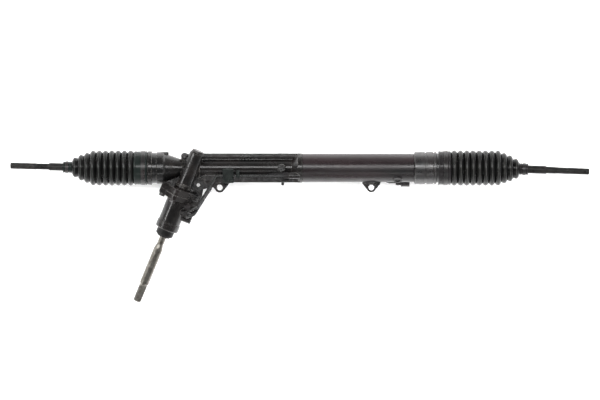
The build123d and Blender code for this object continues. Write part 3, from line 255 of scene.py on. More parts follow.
def ramp(tree, value, low, high, out_low=0.0, out_high=1.0):
    """Value stretched so that low..high becomes out_low..out_high, and clamped there."""
    node = add(
        tree,
        "ShaderNodeMapRange",
        {"From Min": low, "From Max": high, "To Min": out_low, "To Max": out_high},
    )
    tree.links.new(value, node.inputs["Value"])
    return node.outputs["Result"]


def product(tree, first, second):
    """Two values multiplied."""
    node = add(tree, "ShaderNodeMath", operation="MULTIPLY")
    tree.links.new(first, node.inputs[0])
    tree.links.new(second, node.inputs[1])
    return node.outputs["Value"]


def mixed(tree, factor, first, second):
    """Colour mixed from first to second; each is a colour or a socket."""
    node = add(tree, "ShaderNodeMix", data_type="RGBA")
    for value, socket in ((first, node.inputs["A"]), (second, node.inputs["B"])):
        if hasattr(value, "node"):
            tree.links.new(value, socket)
        else:
            socket.default_value = (*value, 1.0)
    tree.links.new(factor, node.inputs["Factor"])
    return node.outputs["Result"]


def rounded_normal(tree, radius):
    """Normal whose edges are rounded by radius."""
    return add(tree, "ShaderNodeBevel", {"Radius": radius}, samples=bevel_samples).outputs["Normal"]


def edge_mask(tree, rounded):
    """Mask that is 1 on the sharpest edges, where the rounded normal leans furthest from the true one."""
    geometry = add(tree, "ShaderNodeNewGeometry")
    lean = add(tree, "ShaderNodeVectorMath", operation="DOT_PRODUCT")
    tree.links.new(rounded, lean.inputs[0])
    tree.links.new(geometry.outputs["Normal"], lean.inputs[1])
    return ramp(tree, lean.outputs["Value"], flat_lean, edge_lean)


def bumped(tree, height, depth, normal=None):
    """Normal pushed about by a height map of the given depth in metres."""
    bump = add(tree, "ShaderNodeBump", {"Strength": 1.0, "Distance": depth})
    tree.links.new(height, bump.inputs["Height"])
    if normal is not None:
        tree.links.new(normal, bump.inputs["Normal"])
    return bump.outputs["Normal"]


# %% [markdown]
# ## Painted metal
# The castings, the tube and the fasteners are all sprayed the same semi-gloss black. What sets them apart
# is the metal below: sand-cast skin is pebbled, drawn tube is smooth with faint lengthwise waves. So one
# function makes the paint and takes the grain as a choice.

# %% Black paint
paint_clouds = 22.0
edge_patch_scale = 160.0
paint_gloss = 70.0
paint_lumps = 190.0


def black_paint(
    name,
    grain_size,
    grain_depth,
    roughness,
    base=(0.007, 0.007, 0.0072),
    tint=(0.015, 0.0115, 0.0115),
    worn_and_highlit=(0.13, 0.125, 0.12),
    stretch=(1, 1, 1),
    edge_radius=0.0008,
    edge_wear_and_highlight=0.5,
    lump_depth=0.0,
    specular=0.5,
):
    """Semi-gloss paint: two blacks in soft clouds, a grain, uneven gloss and edges painted paler, partly as rubbed
    paint and partly as a painted highlight.
    """
    material, tree, shader = blank_finish(name)
    clouds = ramp(tree, noise(tree, paint_clouds, detail=3.0, stretch=stretch), low=0.38, high=0.68)
    edge_patches = ramp(tree, noise(tree, edge_patch_scale, detail=5.0), low=0.42, high=0.66)
    normal = rounded_normal(tree, edge_radius)
    # Sharp edges are painted paler in patches: partly paint rubbed through, partly a painted highlight along the
    # edges.
    edge_wear_and_highlight_mask = ramp(tree, product(tree, edge_mask(tree, normal), edge_patches), 0.0, 1.0, out_high=edge_wear_and_highlight)
    colour = mixed(tree, edge_wear_and_highlight_mask, mixed(tree, clouds, base, tint), worn_and_highlit)
    patches = noise(tree, paint_gloss, detail=4.0, stretch=stretch)
    gloss = ramp(tree, patches, 0.3, 0.7, out_low=roughness - 0.07, out_high=roughness + 0.09)
    grain = noise(tree, 1.0 / grain_size, detail=3.0, stretch=stretch)
    tree.links.new(colour, shader.inputs["Base Color"])
    tree.links.new(gloss, shader.inputs["Roughness"])
    if lump_depth:
        normal = bumped(tree, noise(tree, paint_lumps, detail=2.0), lump_depth, normal)
    tree.links.new(bumped(tree, grain, grain_depth, normal), shader.inputs["Normal"])
    shader.inputs["Specular IOR Level"].default_value = specular
    return material


cast_paint = black_paint(
    "cast_black_paint",
    grain_size=0.0011,
    grain_depth=0.00005,
    roughness=0.22,
    base=(0.0045, 0.0045, 0.0045),
    tint=(0.0095, 0.0078, 0.0074),
    # The castings' edges are painted paler than the other paints' edges, partly as rubbed paint and partly as a
    # painted highlight.
    worn_and_highlit=(0.20, 0.19, 0.175),
    edge_radius=0.0014,
    edge_wear_and_highlight=1.0,
    lump_depth=0.00005,
)
tube_paint = black_paint(
    "tube_black_paint",
    grain_size=0.003,
    grain_depth=0.00005,
    roughness=0.30,
    tint=(0.0175, 0.0105, 0.0118),
    stretch=(0.15, 1, 1),
    edge_wear_and_highlight=0.3,
)
part_paint = black_paint(
    "fastener_black",
    grain_size=0.0012,
    grain_depth=0.00006,
    roughness=0.30,
    edge_wear_and_highlight=0.9,
)
line_paint = black_paint(
    "line_black",
    grain_size=0.002,
    grain_depth=0.00003,
    roughness=0.26,
    tint=(0.010, 0.011, 0.010),
    edge_wear_and_highlight=0.2,
)
rod_paint = black_paint(
    "rod_black",
    grain_size=0.0018,
    grain_depth=0.00009,
    roughness=0.30,
    base=(0.005, 0.005, 0.0048),
    tint=(0.016, 0.0155, 0.0145),
    edge_wear_and_highlight=0.8,
    lump_depth=0.0004,
    specular=0.18,
)
paints = (cast_paint, tube_paint, part_paint, line_paint, rod_paint)
print("paints:", [paint.name for paint in paints])

# %% [markdown]
# ## Bare metal, rubber and plastic
# The input shaft is the one outer piece left unpainted, turned steel that has browned a little, so its colour
# clouds between grey and brown and fine marks break its gloss. Rubber is nearly black and dull, with a greyer
# bloom; the line clips and the bearing shells are plain plastics.

# %% Bare metal
metal_marks = 900.0
metal_mark_depth = 0.00002
metal_edge_radius = 0.0004


def bare_metal(name, light, dark, roughness, clouds_scale=60.0):
    """Uncoated metal: clouds of tarnish, fine tool marks and a broken gloss."""
    material, tree, shader = blank_finish(name)
    clouds = ramp(tree, noise(tree, clouds_scale, detail=5.0), low=0.35, high=0.7)
    marks = noise(tree, metal_marks, detail=2.0)
    gloss = ramp(tree, marks, 0.3, 0.7, out_low=roughness - 0.06, out_high=roughness + 0.1)
    normal = rounded_normal(tree, metal_edge_radius)
    tree.links.new(mixed(tree, clouds, light, dark), shader.inputs["Base Color"])
    tree.links.new(gloss, shader.inputs["Roughness"])
    tree.links.new(bumped(tree, marks, metal_mark_depth, normal), shader.inputs["Normal"])
    shader.inputs["Metallic"].default_value = 1.0
    return material


turned_steel = bare_metal("turned_steel", (0.25, 0.240, 0.218), (0.11, 0.100, 0.083), 0.36, 150.0)
ground_steel = bare_metal("ground_steel", (0.62, 0.62, 0.62), (0.48, 0.47, 0.46), 0.20)
bronze = bare_metal("sintered_bronze", (0.50, 0.34, 0.17), (0.33, 0.20, 0.10), 0.42)
print("metals:", [metal.name for metal in (turned_steel, ground_steel, bronze)])

# %% Rubber and plastic
soft_clouds = 45.0
soft_specular = 0.25


def soft_material(name, base, bloom, roughness, pebble_size, pebble_depth):
    """Rubber or plastic: a skin with a paler bloom in clouds and a fine pebble."""
    material, tree, shader = blank_finish(name)
    clouds = ramp(tree, noise(tree, soft_clouds, detail=5.0), low=0.42, high=0.7)
    pebble = noise(tree, 1.0 / pebble_size, detail=2.0)
    gloss = ramp(tree, clouds, 0.0, 1.0, out_low=roughness, out_high=roughness + 0.1)
    tree.links.new(mixed(tree, clouds, base, bloom), shader.inputs["Base Color"])
    tree.links.new(gloss, shader.inputs["Roughness"])
    tree.links.new(bumped(tree, pebble, pebble_depth), shader.inputs["Normal"])
    shader.inputs["Specular IOR Level"].default_value = soft_specular
    return material


seal_rubber = soft_material(
    "seal_rubber",
    base=(0.004, 0.004, 0.004),
    bloom=(0.011, 0.011, 0.0105),
    roughness=0.42,
    pebble_size=0.0008,
    pebble_depth=0.00004,
)
clip_plastic = soft_material(
    "clip_plastic",
    base=(0.0035, 0.0050, 0.0045),
    bloom=(0.008, 0.012, 0.010),
    roughness=0.20,
    pebble_size=0.0010,
    pebble_depth=0.00003,
)
shell_plastic = soft_material(
    "shell_plastic",
    base=(0.62, 0.59, 0.52),
    bloom=(0.50, 0.47, 0.40),
    roughness=0.45,
    pebble_size=0.0012,
    pebble_depth=0.00002,
)
print("soft materials:", [soft.name for soft in (seal_rubber, clip_plastic, shell_plastic)])

# %% [markdown]
# ## Finishes go onto the nodes by slot
# The record already sorts the nodes into slots, so one table of slot to finish dresses every carried-over
# piece at once.

# %% Dress the nodes
slot_finish = {
    "black_paint": cast_paint,
    "cylinder_paint": tube_paint,
    "bare_steel": turned_steel,
    "rod_steel": rod_paint,
    "polished_steel": ground_steel,
    "boot_rubber": seal_rubber,
    "soft_rubber": seal_rubber,
    "clip_plastic": clip_plastic,
    "bearing_plastic": shell_plastic,
    "bronze": bronze,
    "line_steel": line_paint,
    "fastener_steel": part_paint,
}
node_slot = {row["node"]: row["material_slot"] for row in frame["record"]["subparts"]}
for node_name, node_object in frame["nodes"].items():
    node_object.data.materials.clear()
    node_object.data.materials.append(slot_finish[node_slot[node_name]])
print("dressed", len(frame["nodes"]), "nodes with", len(set(node_slot.values())), "finishes")

# %% The end collar's coat, which mirrors more than the other paint
collar_paint = black_paint(
    "collar_black_paint",
    grain_size=0.0011,
    grain_depth=0.00004,
    roughness=0.30,
    specular=1.0,
)
bpy.data.objects["end_collar"].data.materials[0] = collar_paint
print("end collar:", collar_paint.name)

# %% [markdown]
# ## Turned and moulded pieces
# A turned piece is a profile carried round a line, so one function makes them all: rings of points along
# the line, each at its own radius. The radius may also change round the ring, which is how a thread or a
# spline is cut. A hollow piece's profile runs out along the outside and comes back along the inside.

# %% Pieces from points and faces
def new_piece(name, points, faces, finish, sharp=None):
    """Object with its mesh in place; given sharp, it is smooth but for edges that bend by more degrees."""
    mesh = bpy.data.meshes.new(name)
    mesh.from_pydata(points, [], faces)
    if sharp is not None:
        mesh.polygons.foreach_set("use_smooth", np.ones(len(mesh.polygons), bool))
        mesh.set_sharp_from_angle(angle=np.radians(sharp))
    mesh.materials.append(finish)
    piece = bpy.data.objects.new(name, mesh)
    bpy.context.scene.collection.objects.link(piece)
    return piece


# %% Surfaces of revolution
def crosswise(way):
    """Two unit vectors square to way and to each other, right-handed with it."""
    up = np.array([0.0, 0.0, 1.0])
    first = np.cross(up, way)
    first /= np.linalg.norm(first)
    return first, np.cross(way, first)


def turned(name, origin, way, places, radii, finish, around, hollow=False, shift=None, sharp=40.0):
    """Mesh with points origin + s way + shift(s) + r(s, t) (cos t, sin t), for s in places and t in 0..2 pi.

    Hollow profiles close on themselves; solid ones get a flat end wherever the last radius isn't zero.
    """
    places = np.asarray(places, float)
    turn = np.linspace(0.0, 2.0 * np.pi, around, endpoint=False)
    radii = np.asarray(radii, float)
    radii = np.broadcast_to(radii[:, None] if radii.ndim == 1 else radii, (len(places), around))
    first, second = crosswise(way)
    spokes = np.cos(turn)[:, None] * first + np.sin(turn)[:, None] * second
    points = origin + places[:, None, None] * way + radii[..., None] * spokes
    if shift is not None:
        points = points + shift[:, None, :]
    rows, columns = points.shape[:2]
    index = np.arange(rows * columns).reshape(rows, columns)
    lower = index if hollow else index[:-1]
    upper = np.roll(index, -1, axis=0) if hollow else index[1:]
    quads = np.stack([lower, np.roll(lower, -1, 1), np.roll(upper, -1, 1), upper], -1).reshape(-1, 4)
    points = points.reshape(-1, 3)
    faces = quads.tolist()
    if not hollow:
        ends = [origin + places[0] * way, origin + places[-1] * way]
        points = np.vstack([points, ends])
        start_hub, end_hub = rows * columns, rows * columns + 1
        first_ring, last_ring = index[0], index[-1]
        faces += np.stack([np.roll(first_ring, -1), first_ring, np.full(columns, start_hub)], -1).tolist()
        faces += np.stack([last_ring, np.roll(last_ring, -1), np.full(columns, end_hub)], -1).tolist()
    return new_piece(name, points.tolist(), faces, finish, sharp)


def profile(points, step):
    """Profile given by its corners, with stations no further apart than step."""
    points = np.asarray(points, float)
    places, radii = [points[0, 0]], [points[0, 1]]
    for (s0, r0), (s1, r1) in zip(points[:-1], points[1:]):
        count = max(int(np.ceil(abs(s1 - s0) / step)), 1)
        part = np.arange(1, count + 1) / count
        places += list(s0 + (s1 - s0) * part)
        radii += list(r0 + (r1 - r0) * part)
    return np.array(places), np.array(radii)


# %% [markdown]
# ## Rubber boots
# Each boot is one moulded bellows: a wide cuff on the housing, folds of equal size, three smaller folds
# that form a cone and a small cuff on the tie rod. In use it has to follow three motions. It is made in four
# lengths that meet in the valleys: a long one along the rack, two short ones at the ball joint, one for each
# of its axes, and the small cuff, which goes with the rod.

# %% Boot rubber
boot_clouds = 38.0
crest_patch_scale = 120.0
boot_pebble = 900.0
boot_pebble_depth = 0.00005
boot_specular = 0.22
crest_highlight_start = 0.95                   # share of a fold's height where the painted crest highlight begins
fold_black = (0.0022, 0.0022, 0.0022)
fold_bloom = (0.0065, 0.0065, 0.0062)


def boot_rubber(name, bloom, cuff_color):
    """Black rubber, painted paler along its crests as a painted highlight, and of another shade on its cuffs.

    The ridge attribute is 1 on the crests, and the cuff attribute is 1 on the cuffs.
    """
    material, tree, shader = blank_finish(name)
    clouds = ramp(tree, noise(tree, boot_clouds, detail=5.0), low=0.35, high=0.72)
    crest = add(tree, "ShaderNodeAttribute", attribute_name="ridge")
    cuff = add(tree, "ShaderNodeAttribute", attribute_name="cuff")
    patches = ramp(tree, noise(tree, crest_patch_scale, detail=4.0), 0.25, 0.6, out_low=0.35, out_high=1.0)
    # The top of each crest is painted paler in patches: a painted highlight along the folds.
    crest_highlight = product(tree, ramp(tree, crest.outputs["Fac"], crest_highlight_start, 1.0), patches)
    folds = mixed(tree, clouds, fold_black, fold_bloom)
    skin = mixed(tree, cuff.outputs["Fac"], folds, cuff_color)
    gloss = ramp(tree, clouds, 0.0, 1.0, out_low=0.20, out_high=0.30)
    pebble = noise(tree, boot_pebble, detail=3.0)
    tree.links.new(mixed(tree, crest_highlight, skin, bloom), shader.inputs["Base Color"])
    tree.links.new(gloss, shader.inputs["Roughness"])
    tree.links.new(bumped(tree, pebble, boot_pebble_depth), shader.inputs["Normal"])
    shader.inputs["Specular IOR Level"].default_value = boot_specular
    return material


# The second colour is the painted highlight on the crests, and the third is the cuffs' own shade.
left_rubber = boot_rubber("left_boot_rubber", (0.026, 0.028, 0.026), (0.0085, 0.0115, 0.0105))
right_rubber = boot_rubber("right_boot_rubber", (0.038, 0.038, 0.036), (0.012, 0.011, 0.0115))
print("boot rubber:", left_rubber.name, "and", right_rubber.name)

# %% Boot shape
boot_radius = 37.0 * MM
boot_wall = 2.0 * MM
valley_radius = 31.6 * MM
cuff_radius = 35.0 * MM
spigot_radius = 30.6 * MM
cone_pitch = 12.5 * MM
cone_end = ball_reach + 54.2 * MM                 # last valley, from the middle
cone_valleys = np.array([29.5, 25.0, 19.5, 13.5]) * MM
cone_crests = np.array([32.0, 27.3, 21.0]) * MM
tail_end = ball_reach + 73.0 * MM
tail_radius = 11.5 * MM
cuff_least_wall = 1.2 * MM
tail_clearance = 0.2 * MM
left_shank = 8.1 * MM
right_shank = 8.4 * MM

# Cuff, spigot and fold say how far from the middle the cuff's rim, the spigot's end and the first valley
# are. Ribs are shares of the cuff's length.
boots = {
    "left": {
        "side": -1,
        "cuff": 311.5 * MM,
        "spigot": 334.0 * MM,
        "fold": 339.5 * MM,
        "folds": 7,
        "shank": left_shank,
        "rubber": left_rubber,
        "ribs": (),
    },
    "right": {
        "side": 1,
        "cuff": 299.5 * MM,
        "spigot": 324.0 * MM,
        "fold": 326.5 * MM,
        "folds": 8,
        "shank": right_shank,
        "rubber": right_rubber,
        "ribs": (0.34, 0.46, 0.58, 0.70),
    },
}
points_per_fold = 18
fold_power = 0.8

# Ribs round the cuffs, with their places and widths as shares of the cuff's length.
cuff_rings = 60
cuff_rim = {"place": 0.05, "width": 0.035, "height": 0.9 * MM}
cuff_shoulder = {"place": 0.86, "width": 0.03, "height": 0.8 * MM}
fine_rib = {"width": 0.022, "height": 0.5 * MM}
cuff_drop_start = 0.93
cuff_drop_length = 0.07
tail_rings = 50
tail_lips = (0.95, 0.22)
tail_lip = {"width": 0.05, "height": 0.9 * MM}
tail_taper = 0.12
tail_taper_power = 1.5

boot_around = 128
boot_sharp = 50.0
tail_around = 96
print("boots:", {label: boot["folds"] for label, boot in boots.items()}, "equal folds each")

# %% Boot profiles
def fold_rows(valleys, valley_radii, crests):
    """Stations, radii and heights of a run of folds.

    Across each fold r = valley + (crest - valley) sin(pi u)^fold_power, with u from 0 to 1.
    """
    places, radii, ridge = [], [], []
    u = np.linspace(0.0, 1.0, points_per_fold + 1)
    lift = np.sin(np.pi * u).clip(0.0) ** fold_power
    for i, crest in enumerate(crests):
        floor_line = valley_radii[i] + (valley_radii[i + 1] - valley_radii[i]) * u
        keep = slice(0 if i == 0 else 1, None)
        places.append((valleys[i] + (valleys[i + 1] - valleys[i]) * u)[keep])
        radii.append((floor_line + (crest - floor_line) * lift)[keep])
        ridge.append(lift[keep])
    return np.concatenate(places), np.concatenate(radii), np.concatenate(ridge)


def rib(along, place, width, height):
    """Rounded rib round a cuff: height exp(-((along - place) / width)^2)."""
    return height * np.exp(-(((along - place) / width) ** 2))


def cuff_rows(boot):
    """Stations, outer and inner radii of the wide cuff; it drops to the valley just before the folds."""
    places = np.linspace(boot["cuff"], boot["fold"], cuff_rings)[:-1]
    along = (places - boot["cuff"]) / (boot["fold"] - boot["cuff"])
    outer = cuff_radius + rib(along, **cuff_rim) + rib(along, **cuff_shoulder)
    for place in boot["ribs"]:
        outer += rib(along, place, **fine_rib)
    drop = ((along - cuff_drop_start) / cuff_drop_length).clip(0.0, 1.0) ** 2
    outer -= (cuff_radius - valley_radius) * drop
    inner = np.where(places < boot["spigot"], spigot_radius, valley_radius - boot_wall)
    return places, outer, np.minimum(inner, outer - cuff_least_wall)


def tail_rows(boot):
    """Stations from the ball, outer and inner radii of the small cuff on the rod, which has two lips."""
    places = np.linspace(cone_end - ball_reach, tail_end - ball_reach, tail_rings)
    along = (places - places[0]) / (places[-1] - places[0])
    taper = (1.0 - along / tail_taper).clip(0.0) ** tail_taper_power
    outer = tail_radius + (cone_valleys[-1] - tail_radius) * taper
    for place in tail_lips:
        outer += rib(along, place, **tail_lip)
    return places, outer, np.full(len(places), boot["shank"] + tail_clearance)


def shell(places, outer, inner):
    """Closed profile of a hollow piece, out along the outside and back along the inside."""
    return np.concatenate([places, places[::-1]]), np.concatenate([outer, inner[::-1]])


# %% Boots
def mark(piece, name, values, around):
    """Float attribute on the points of a turned piece, one value per ring."""
    layer = piece.data.attributes.new(name, "FLOAT", "POINT")
    layer.data.foreach_set("value", np.repeat(values, around).astype(np.float32))


def boot_piece(name, boot, places, radii, inner, ridge, tilt):
    """One length of a boot; beyond the ball its centre line leans over until it lies along the rod."""
    side = boot["side"]
    stations, both = shell(places, radii, inner)
    beyond = (stations - ball_reach).clip(0.0)
    ease = ((stations - ball_reach) / (cone_end - ball_reach)).clip(0.0, 1.0)
    ease = ease * ease * (3.0 - 2.0 * ease)
    shift = np.zeros((len(stations), 3))
    shift[:, 1] = beyond * ease * tilt
    way = np.array([float(side), 0.0, 0.0])
    origin = np.array([0.0, rack_y, rack_z])
    piece = turned(
        name,
        origin,
        way,
        stations,
        both,
        boot["rubber"],
        boot_around,
        hollow=True,
        shift=shift,
        sharp=boot_sharp,
    )
    mark(piece, "ridge", np.concatenate([ridge, np.zeros(len(ridge))]), boot_around)
    mark(piece, "cuff", (stations < boot["fold"]).astype(float), boot_around)
    return piece


def set_weights(piece):
    """Reads the piece's points into an array; it sets no weights."""
    count = len(piece.data.vertices)
    points = np.empty(count * 3, np.float32)
    piece.data.vertices.foreach_get("co", points)


def make_boot(label):
    """The four lengths of one boot; the small cuff is bound to the rod."""
    boot = boots[label]
    way = rod_way[label]
    tilt = way[1] / abs(way[0])
    cone_start = cone_end - len(cone_crests) * cone_pitch
    valleys = np.linspace(boot["fold"], cone_start, boot["folds"] + 1)
    valley_radii = np.full(len(valleys), valley_radius)
    valley_radii[-1] = cone_valleys[0]
    folds, fold_radii, ridge = fold_rows(valleys, valley_radii, np.full(boot["folds"], boot_radius))

    cuff, cuff_outer, cuff_inner = cuff_rows(boot)
    places = np.concatenate([cuff, folds])
    radii = np.concatenate([cuff_outer, fold_radii])
    inner = np.concatenate([cuff_inner, fold_radii - boot_wall])
    ridge = np.concatenate([np.zeros(len(cuff)), ridge])
    long_part = boot_piece(label + "_boot_bellows", boot, places, radii, inner, ridge, tilt)

    joint = cone_start + cone_pitch
    places, radii, ridge = fold_rows([cone_start, joint], cone_valleys[:2], cone_crests[:1])
    neck_part = boot_piece(label + "_boot_neck", boot, places, radii, radii - boot_wall, ridge, tilt)
    places, radii, ridge = fold_rows([joint, joint + cone_pitch, cone_end], cone_valleys[1:], cone_crests[1:])
    cone_part = boot_piece(label + "_boot_cone", boot, places, radii, radii - boot_wall, ridge, tilt)

    stations, both = shell(*tail_rows(boot))
    tail_part = turned(
        label + "_boot_cuff", balls[label], way, stations, both, boot["rubber"], tail_around, hollow=True
    )
    mark(tail_part, "cuff", np.ones(len(stations)), tail_around)

    for part, near, far, start, end in (
        (long_part, "housing", "rack", boot["fold"], cone_start),
        (neck_part, "rack", label + "_seat", cone_start, joint),
        (cone_part, label + "_seat", label + "_rod", joint, cone_end),
    ):
        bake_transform(part)
        set_weights(part)
    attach(tail_part, label + "_rod")
    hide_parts(label + "_boot")
    return [long_part, neck_part, cone_part, tail_part]


for label in boots:
    made = make_boot(label)
    print(label, "boot:", [(part.name, len(part.data.vertices)) for part in made])

# %% [markdown]
# ## Tie rods
# The inner tie rods are forged, with a ball at one end, a plain shank, a waist and a rolled thread. The
# thread is cut by letting the radius fall along a helix: a triangle wave of the place along the rod less
# the turn round it.

# %% Tie rods with threads
thread_pitch = 1.5 * MM
thread_depth = 0.45 * MM
thread_steps = 10                    # rings in one turn of the thread
rods = {
    "left": {"shank": left_shank, "waist": 6.4 * MM, "waist_start": 103.0 * MM},
    "right": {"shank": right_shank, "waist": 7.2 * MM, "waist_start": 112.0 * MM},
}
rod_around = 48
rod_sharp = 55.0
rod_step = 3.0 * MM
ball_radius = 11.0 * MM
ball_rings = 40
ball_start_share = -0.999            # shares of the ball's radius between which its surface is made
ball_end_share = 0.83
ball_to_neck = 0.3 * MM
rod_neck = 6.0 * MM
rod_neck_end = 22.0 * MM
shank_start = 28.0 * MM
waist_slope_before = 1.5 * MM
waist_slope_after = 0.5 * MM
thread_gap = 0.8 * MM
thread_radius = mounts["left_tie_rod_thread"]["dims"]["r_mm"] * MM
thread_chamfer = 1.5 * MM


def triangle(phase):
    """Wave between 0 and 1 that rises and falls evenly once in each unit of phase."""
    return 1.0 - np.abs(2.0 * (phase % 1.0) - 1.0)


def make_tie_rod(label):
    """Ball, neck, shank, waist and thread along one line from the ball."""
    ball = balls[label]
    mount = mounts[label + "_tie_rod_thread"]
    middle = np.linalg.norm(np.array(mount["pos_m"]) - ball)
    half = (mount["dims"]["length_mm"] * MM + thread_chamfer) / 2
    thread_start, tip = middle - half, middle + half
    size = rods[label]
    sphere = np.linspace(ball_start_share, ball_end_share, ball_rings) * ball_radius
    sphere_radii = np.sqrt(ball_radius**2 - sphere**2)
    body, body_radii = profile(
        [
            (sphere[-1] + ball_to_neck, rod_neck),
            (rod_neck_end, rod_neck),
            (shank_start, size["shank"]),
            (size["waist_start"] - waist_slope_before, size["shank"]),
            (size["waist_start"] + waist_slope_after, size["waist"]),
            (thread_start - thread_gap, size["waist"]),
        ],
        rod_step,
    )
    thread = np.linspace(thread_start, tip, int((tip - thread_start) / thread_pitch * thread_steps))
    crest = np.minimum(thread_radius, thread_radius - thread_chamfer + (tip - thread))
    turn = np.linspace(0.0, 1.0, rod_around, endpoint=False)
    groove = triangle(thread[:, None] / thread_pitch - turn[None, :])
    run_in = ((thread - thread_start) / (2.0 * thread_pitch)).clip(0.0, 1.0)
    thread_radii = crest[:, None] - thread_depth * groove * run_in[:, None]
    places = np.concatenate([sphere, body, thread])
    plain = np.concatenate([sphere_radii, body_radii])
    radii = np.vstack([np.repeat(plain[:, None], rod_around, 1), thread_radii])
    rod = turned(
        label + "_tie_rod_turned", ball, rod_way[label], places, radii, rod_paint, rod_around, sharp=rod_sharp
    )
    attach(rod, label + "_rod")
    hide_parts(label + "_tie_rod")
    return rod


for label in rods:
    made = make_tie_rod(label)
    print(label, "tie rod:", len(made.data.vertices), "points")

# %% [markdown]
# ## Input shaft
# The shaft carries a fine spline at its end for the steering column's joint. Its radius dips between the
# teeth, so seen from the side the end shows lengthwise lines.

# %% Splined shaft
spline_mount = mounts["input_spline"]
spline_middle = np.linalg.norm(np.array(spline_mount["pos_m"]) - tower_foot)
spline_half = spline_mount["dims"]["length_mm"] * MM / 2
spline_start, spline_end = spline_middle - spline_half, spline_middle + spline_half
spline_radius = spline_mount["dims"]["r_mm"] * MM
spline_teeth = 36
spline_depth = 0.5 * MM
tooth_root, tooth_tip = 0.2, 0.8     # the wave is cut off here, which makes the flat roots and tips
shaft_radius = 9.3 * MM
stub_radius = 9.5 * MM
neck_radius = 6.8 * MM
stub_start, stub_end = 76.0 * MM, 154.0 * MM
neck_start, neck_end = 157.0 * MM, 172.5 * MM
shoulder_start, shoulder_end = 175.5 * MM, 181.0 * MM
plain_start = 182.5 * MM
shaft_step = 1.5 * MM
shaft_sharp = 38.0
shaft_corners = [
    (stub_start, stub_radius),
    (stub_end, stub_radius),
    (neck_start, neck_radius),
    (neck_end, neck_radius),
    (shoulder_start, neck_radius + 0.8 * MM),
    (shoulder_end, shaft_radius - 0.3 * MM),
    (plain_start, shaft_radius),
    (spline_start - 5.0 * MM, shaft_radius),
    (spline_start - 3.4 * MM, spline_radius),
    (spline_start - 1.6 * MM, spline_radius - 0.8 * MM),
    (spline_start, spline_radius),
    (spline_end, spline_radius),
    (spline_end + 2.0 * MM, spline_radius - 2.0 * MM),
]
shaft_around = spline_teeth * 6
places, plain = profile(shaft_corners, shaft_step)
in_spline = ((places > spline_start - 0.1 * MM) & (places < spline_end + 1.0 * MM)).astype(float)
teeth = triangle(np.linspace(0.0, spline_teeth, shaft_around, endpoint=False)).clip(tooth_root, tooth_tip)
tooth_drop = (tooth_tip - teeth) / (tooth_tip - tooth_root)
radii = plain[:, None] - spline_depth * in_spline[:, None] * tooth_drop[None, :]
input_shaft = turned(
    "input_shaft_turned", tower_foot, tower_way, places, radii, turned_steel, shaft_around, sharp=shaft_sharp
)
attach(input_shaft, "input_shaft")
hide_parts("input_shaft")
print("input shaft:", len(input_shaft.data.vertices), "points; spline", round(spline_half * 2 / MM, 1), "mm")

# %% [markdown]
# ## Finer forms of the castings
# The two flanges that carry the valve housing are ringed by raised beads, a ringed half lobe swells from
# their right side, and thin webs run from the flange to the neck of the housing and to the gusset. They are
# parts of the castings, so they go with the housing and wear its paint.

# %% Beads round the flanges
bead_heights = (46.5, 51.5, 56.0, 60.5, 66.0)
bead_ring = 24.8 * MM
bead_size = 1.9 * MM
bead_around = 128
bead_points = 16
bead_turn = np.linspace(0.0, 2.0 * np.pi, bead_points, endpoint=False)
for i, height in enumerate(bead_heights):
    places = height * MM + bead_size * np.cos(bead_turn)
    radii = bead_ring + bead_size * np.sin(bead_turn)
    name = "flange_bead_" + str(i)
    bead = turned(
        name, tower_foot, tower_way, places[::-1], radii[::-1], cast_paint, bead_around, hollow=True
    )
    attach(bead, "housing")
print("flange beads:", len(bead_heights))

# %% Ringed lobe on the right side of the flanges
lobe_around = 48
lobe_sharp = 40.0


def half_turned(name, origin, way, first, places, radii, finish):
    """Closed section (places, radii) carried half a turn round the line, centred on first, with flat ends."""
    second = np.cross(way, first)
    turn = np.linspace(-0.5 * np.pi, 0.5 * np.pi, lobe_around)
    spokes = np.cos(turn)[:, None] * first + np.sin(turn)[:, None] * second
    points = origin + places[:, None, None] * way + radii[:, None, None] * spokes
    index = np.arange(len(places) * lobe_around).reshape(len(places), lobe_around)
    after = np.roll(index, -1, axis=0)
    quads = np.stack([index[:, :-1], index[:, 1:], after[:, 1:], after[:, :-1]], -1).reshape(-1, 4)
    faces = quads.tolist() + [index[:, 0].tolist(), index[::-1, -1].tolist()]
    return new_piece(name, points.reshape(-1, 3).tolist(), faces, finish, lobe_sharp)


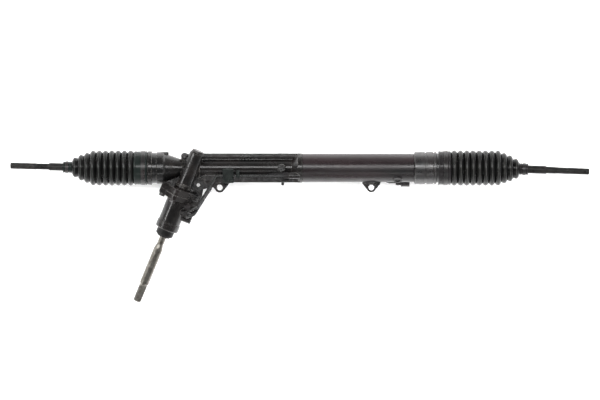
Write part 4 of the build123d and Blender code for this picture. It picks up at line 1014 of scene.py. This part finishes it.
lobe_start, lobe_end = 43.5 * MM, 57.9 * MM
lobe_offset = 17.0 * MM
lobe_radius = 21.5 * MM
lobe_inner = 8.0 * MM
lobe_rings = 3
lobe_ring_height = 2.4 * MM
lobe_stations = 61
toward_lobe = np.cross((0.0, 0.0, 1.0), tower_way)
toward_lobe /= np.linalg.norm(toward_lobe)
lobe_places = np.linspace(lobe_start, lobe_end, lobe_stations)
lobe_phase = lobe_rings * (lobe_places - lobe_start) / (lobe_end - lobe_start)
lobe_radii = lobe_radius + lobe_ring_height * np.abs(np.sin(np.pi * lobe_phase))
flange_lobe = half_turned(
    "flange_ringed_lobe",
    tower_foot + lobe_offset * toward_lobe,
    tower_way,
    toward_lobe,
    np.append(lobe_places, [lobe_end, lobe_start]),
    np.append(lobe_radii, [lobe_inner, lobe_inner]),
    cast_paint,
)
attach(flange_lobe, "housing")
print("flange lobe toward", [round(v, 2) for v in toward_lobe])

# %% Webs beside the barrel
web_half_depth = 7.0 * MM
web_rounding = 1.5 * MM
web_outlines = {                     # corners in picture elements, across and down
    "neck_web": ((165.5, 180.5), (181.0, 175.0), (176.0, 188.5), (163.5, 183.5)),
    "gusset_web": ((189.5, 188.0), (197.0, 189.5), (203.5, 187.3), (202.0, 198.0)),
}


def plate(name, corners, half_depth, finish):
    """Flat plate with rounded edges: the outline is drawn up and down from the rack's height."""
    corners = np.asarray(corners)
    offsets = np.stack([corners[:, 0] - origin_pixel[0], origin_pixel[1] - corners[:, 1]], 1)
    outline = offsets * mm_per_pixel * MM
    count = len(outline)
    points = [(x, y, rack_z + side * half_depth) for side in (-1, 1) for x, y in outline]
    sides = [(i, (i + 1) % count, count + (i + 1) % count, count + i) for i in range(count)]
    faces = [tuple(range(count))[::-1], tuple(range(count, 2 * count))] + sides
    after = np.roll(outline, -1, axis=0)
    twice_area = np.sum(outline[:, 0] * after[:, 1] - after[:, 0] * outline[:, 1])
    if twice_area < 0:               # the corners run clockwise, so the faces point inwards
        faces = [face[::-1] for face in faces]
    piece = new_piece(name, points, faces, finish)
    edge = piece.modifiers.new("edge", "BEVEL")
    edge.width = web_rounding
    edge.segments = 3
    return piece


for name, corners in web_outlines.items():
    web = plate(name, corners, web_half_depth, cast_paint)
    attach(web, "housing")
print("webs:", list(web_outlines))

# %% Sizes
print("solids:", [round(v, 4) for v in (*solid_low, *solid_high)])
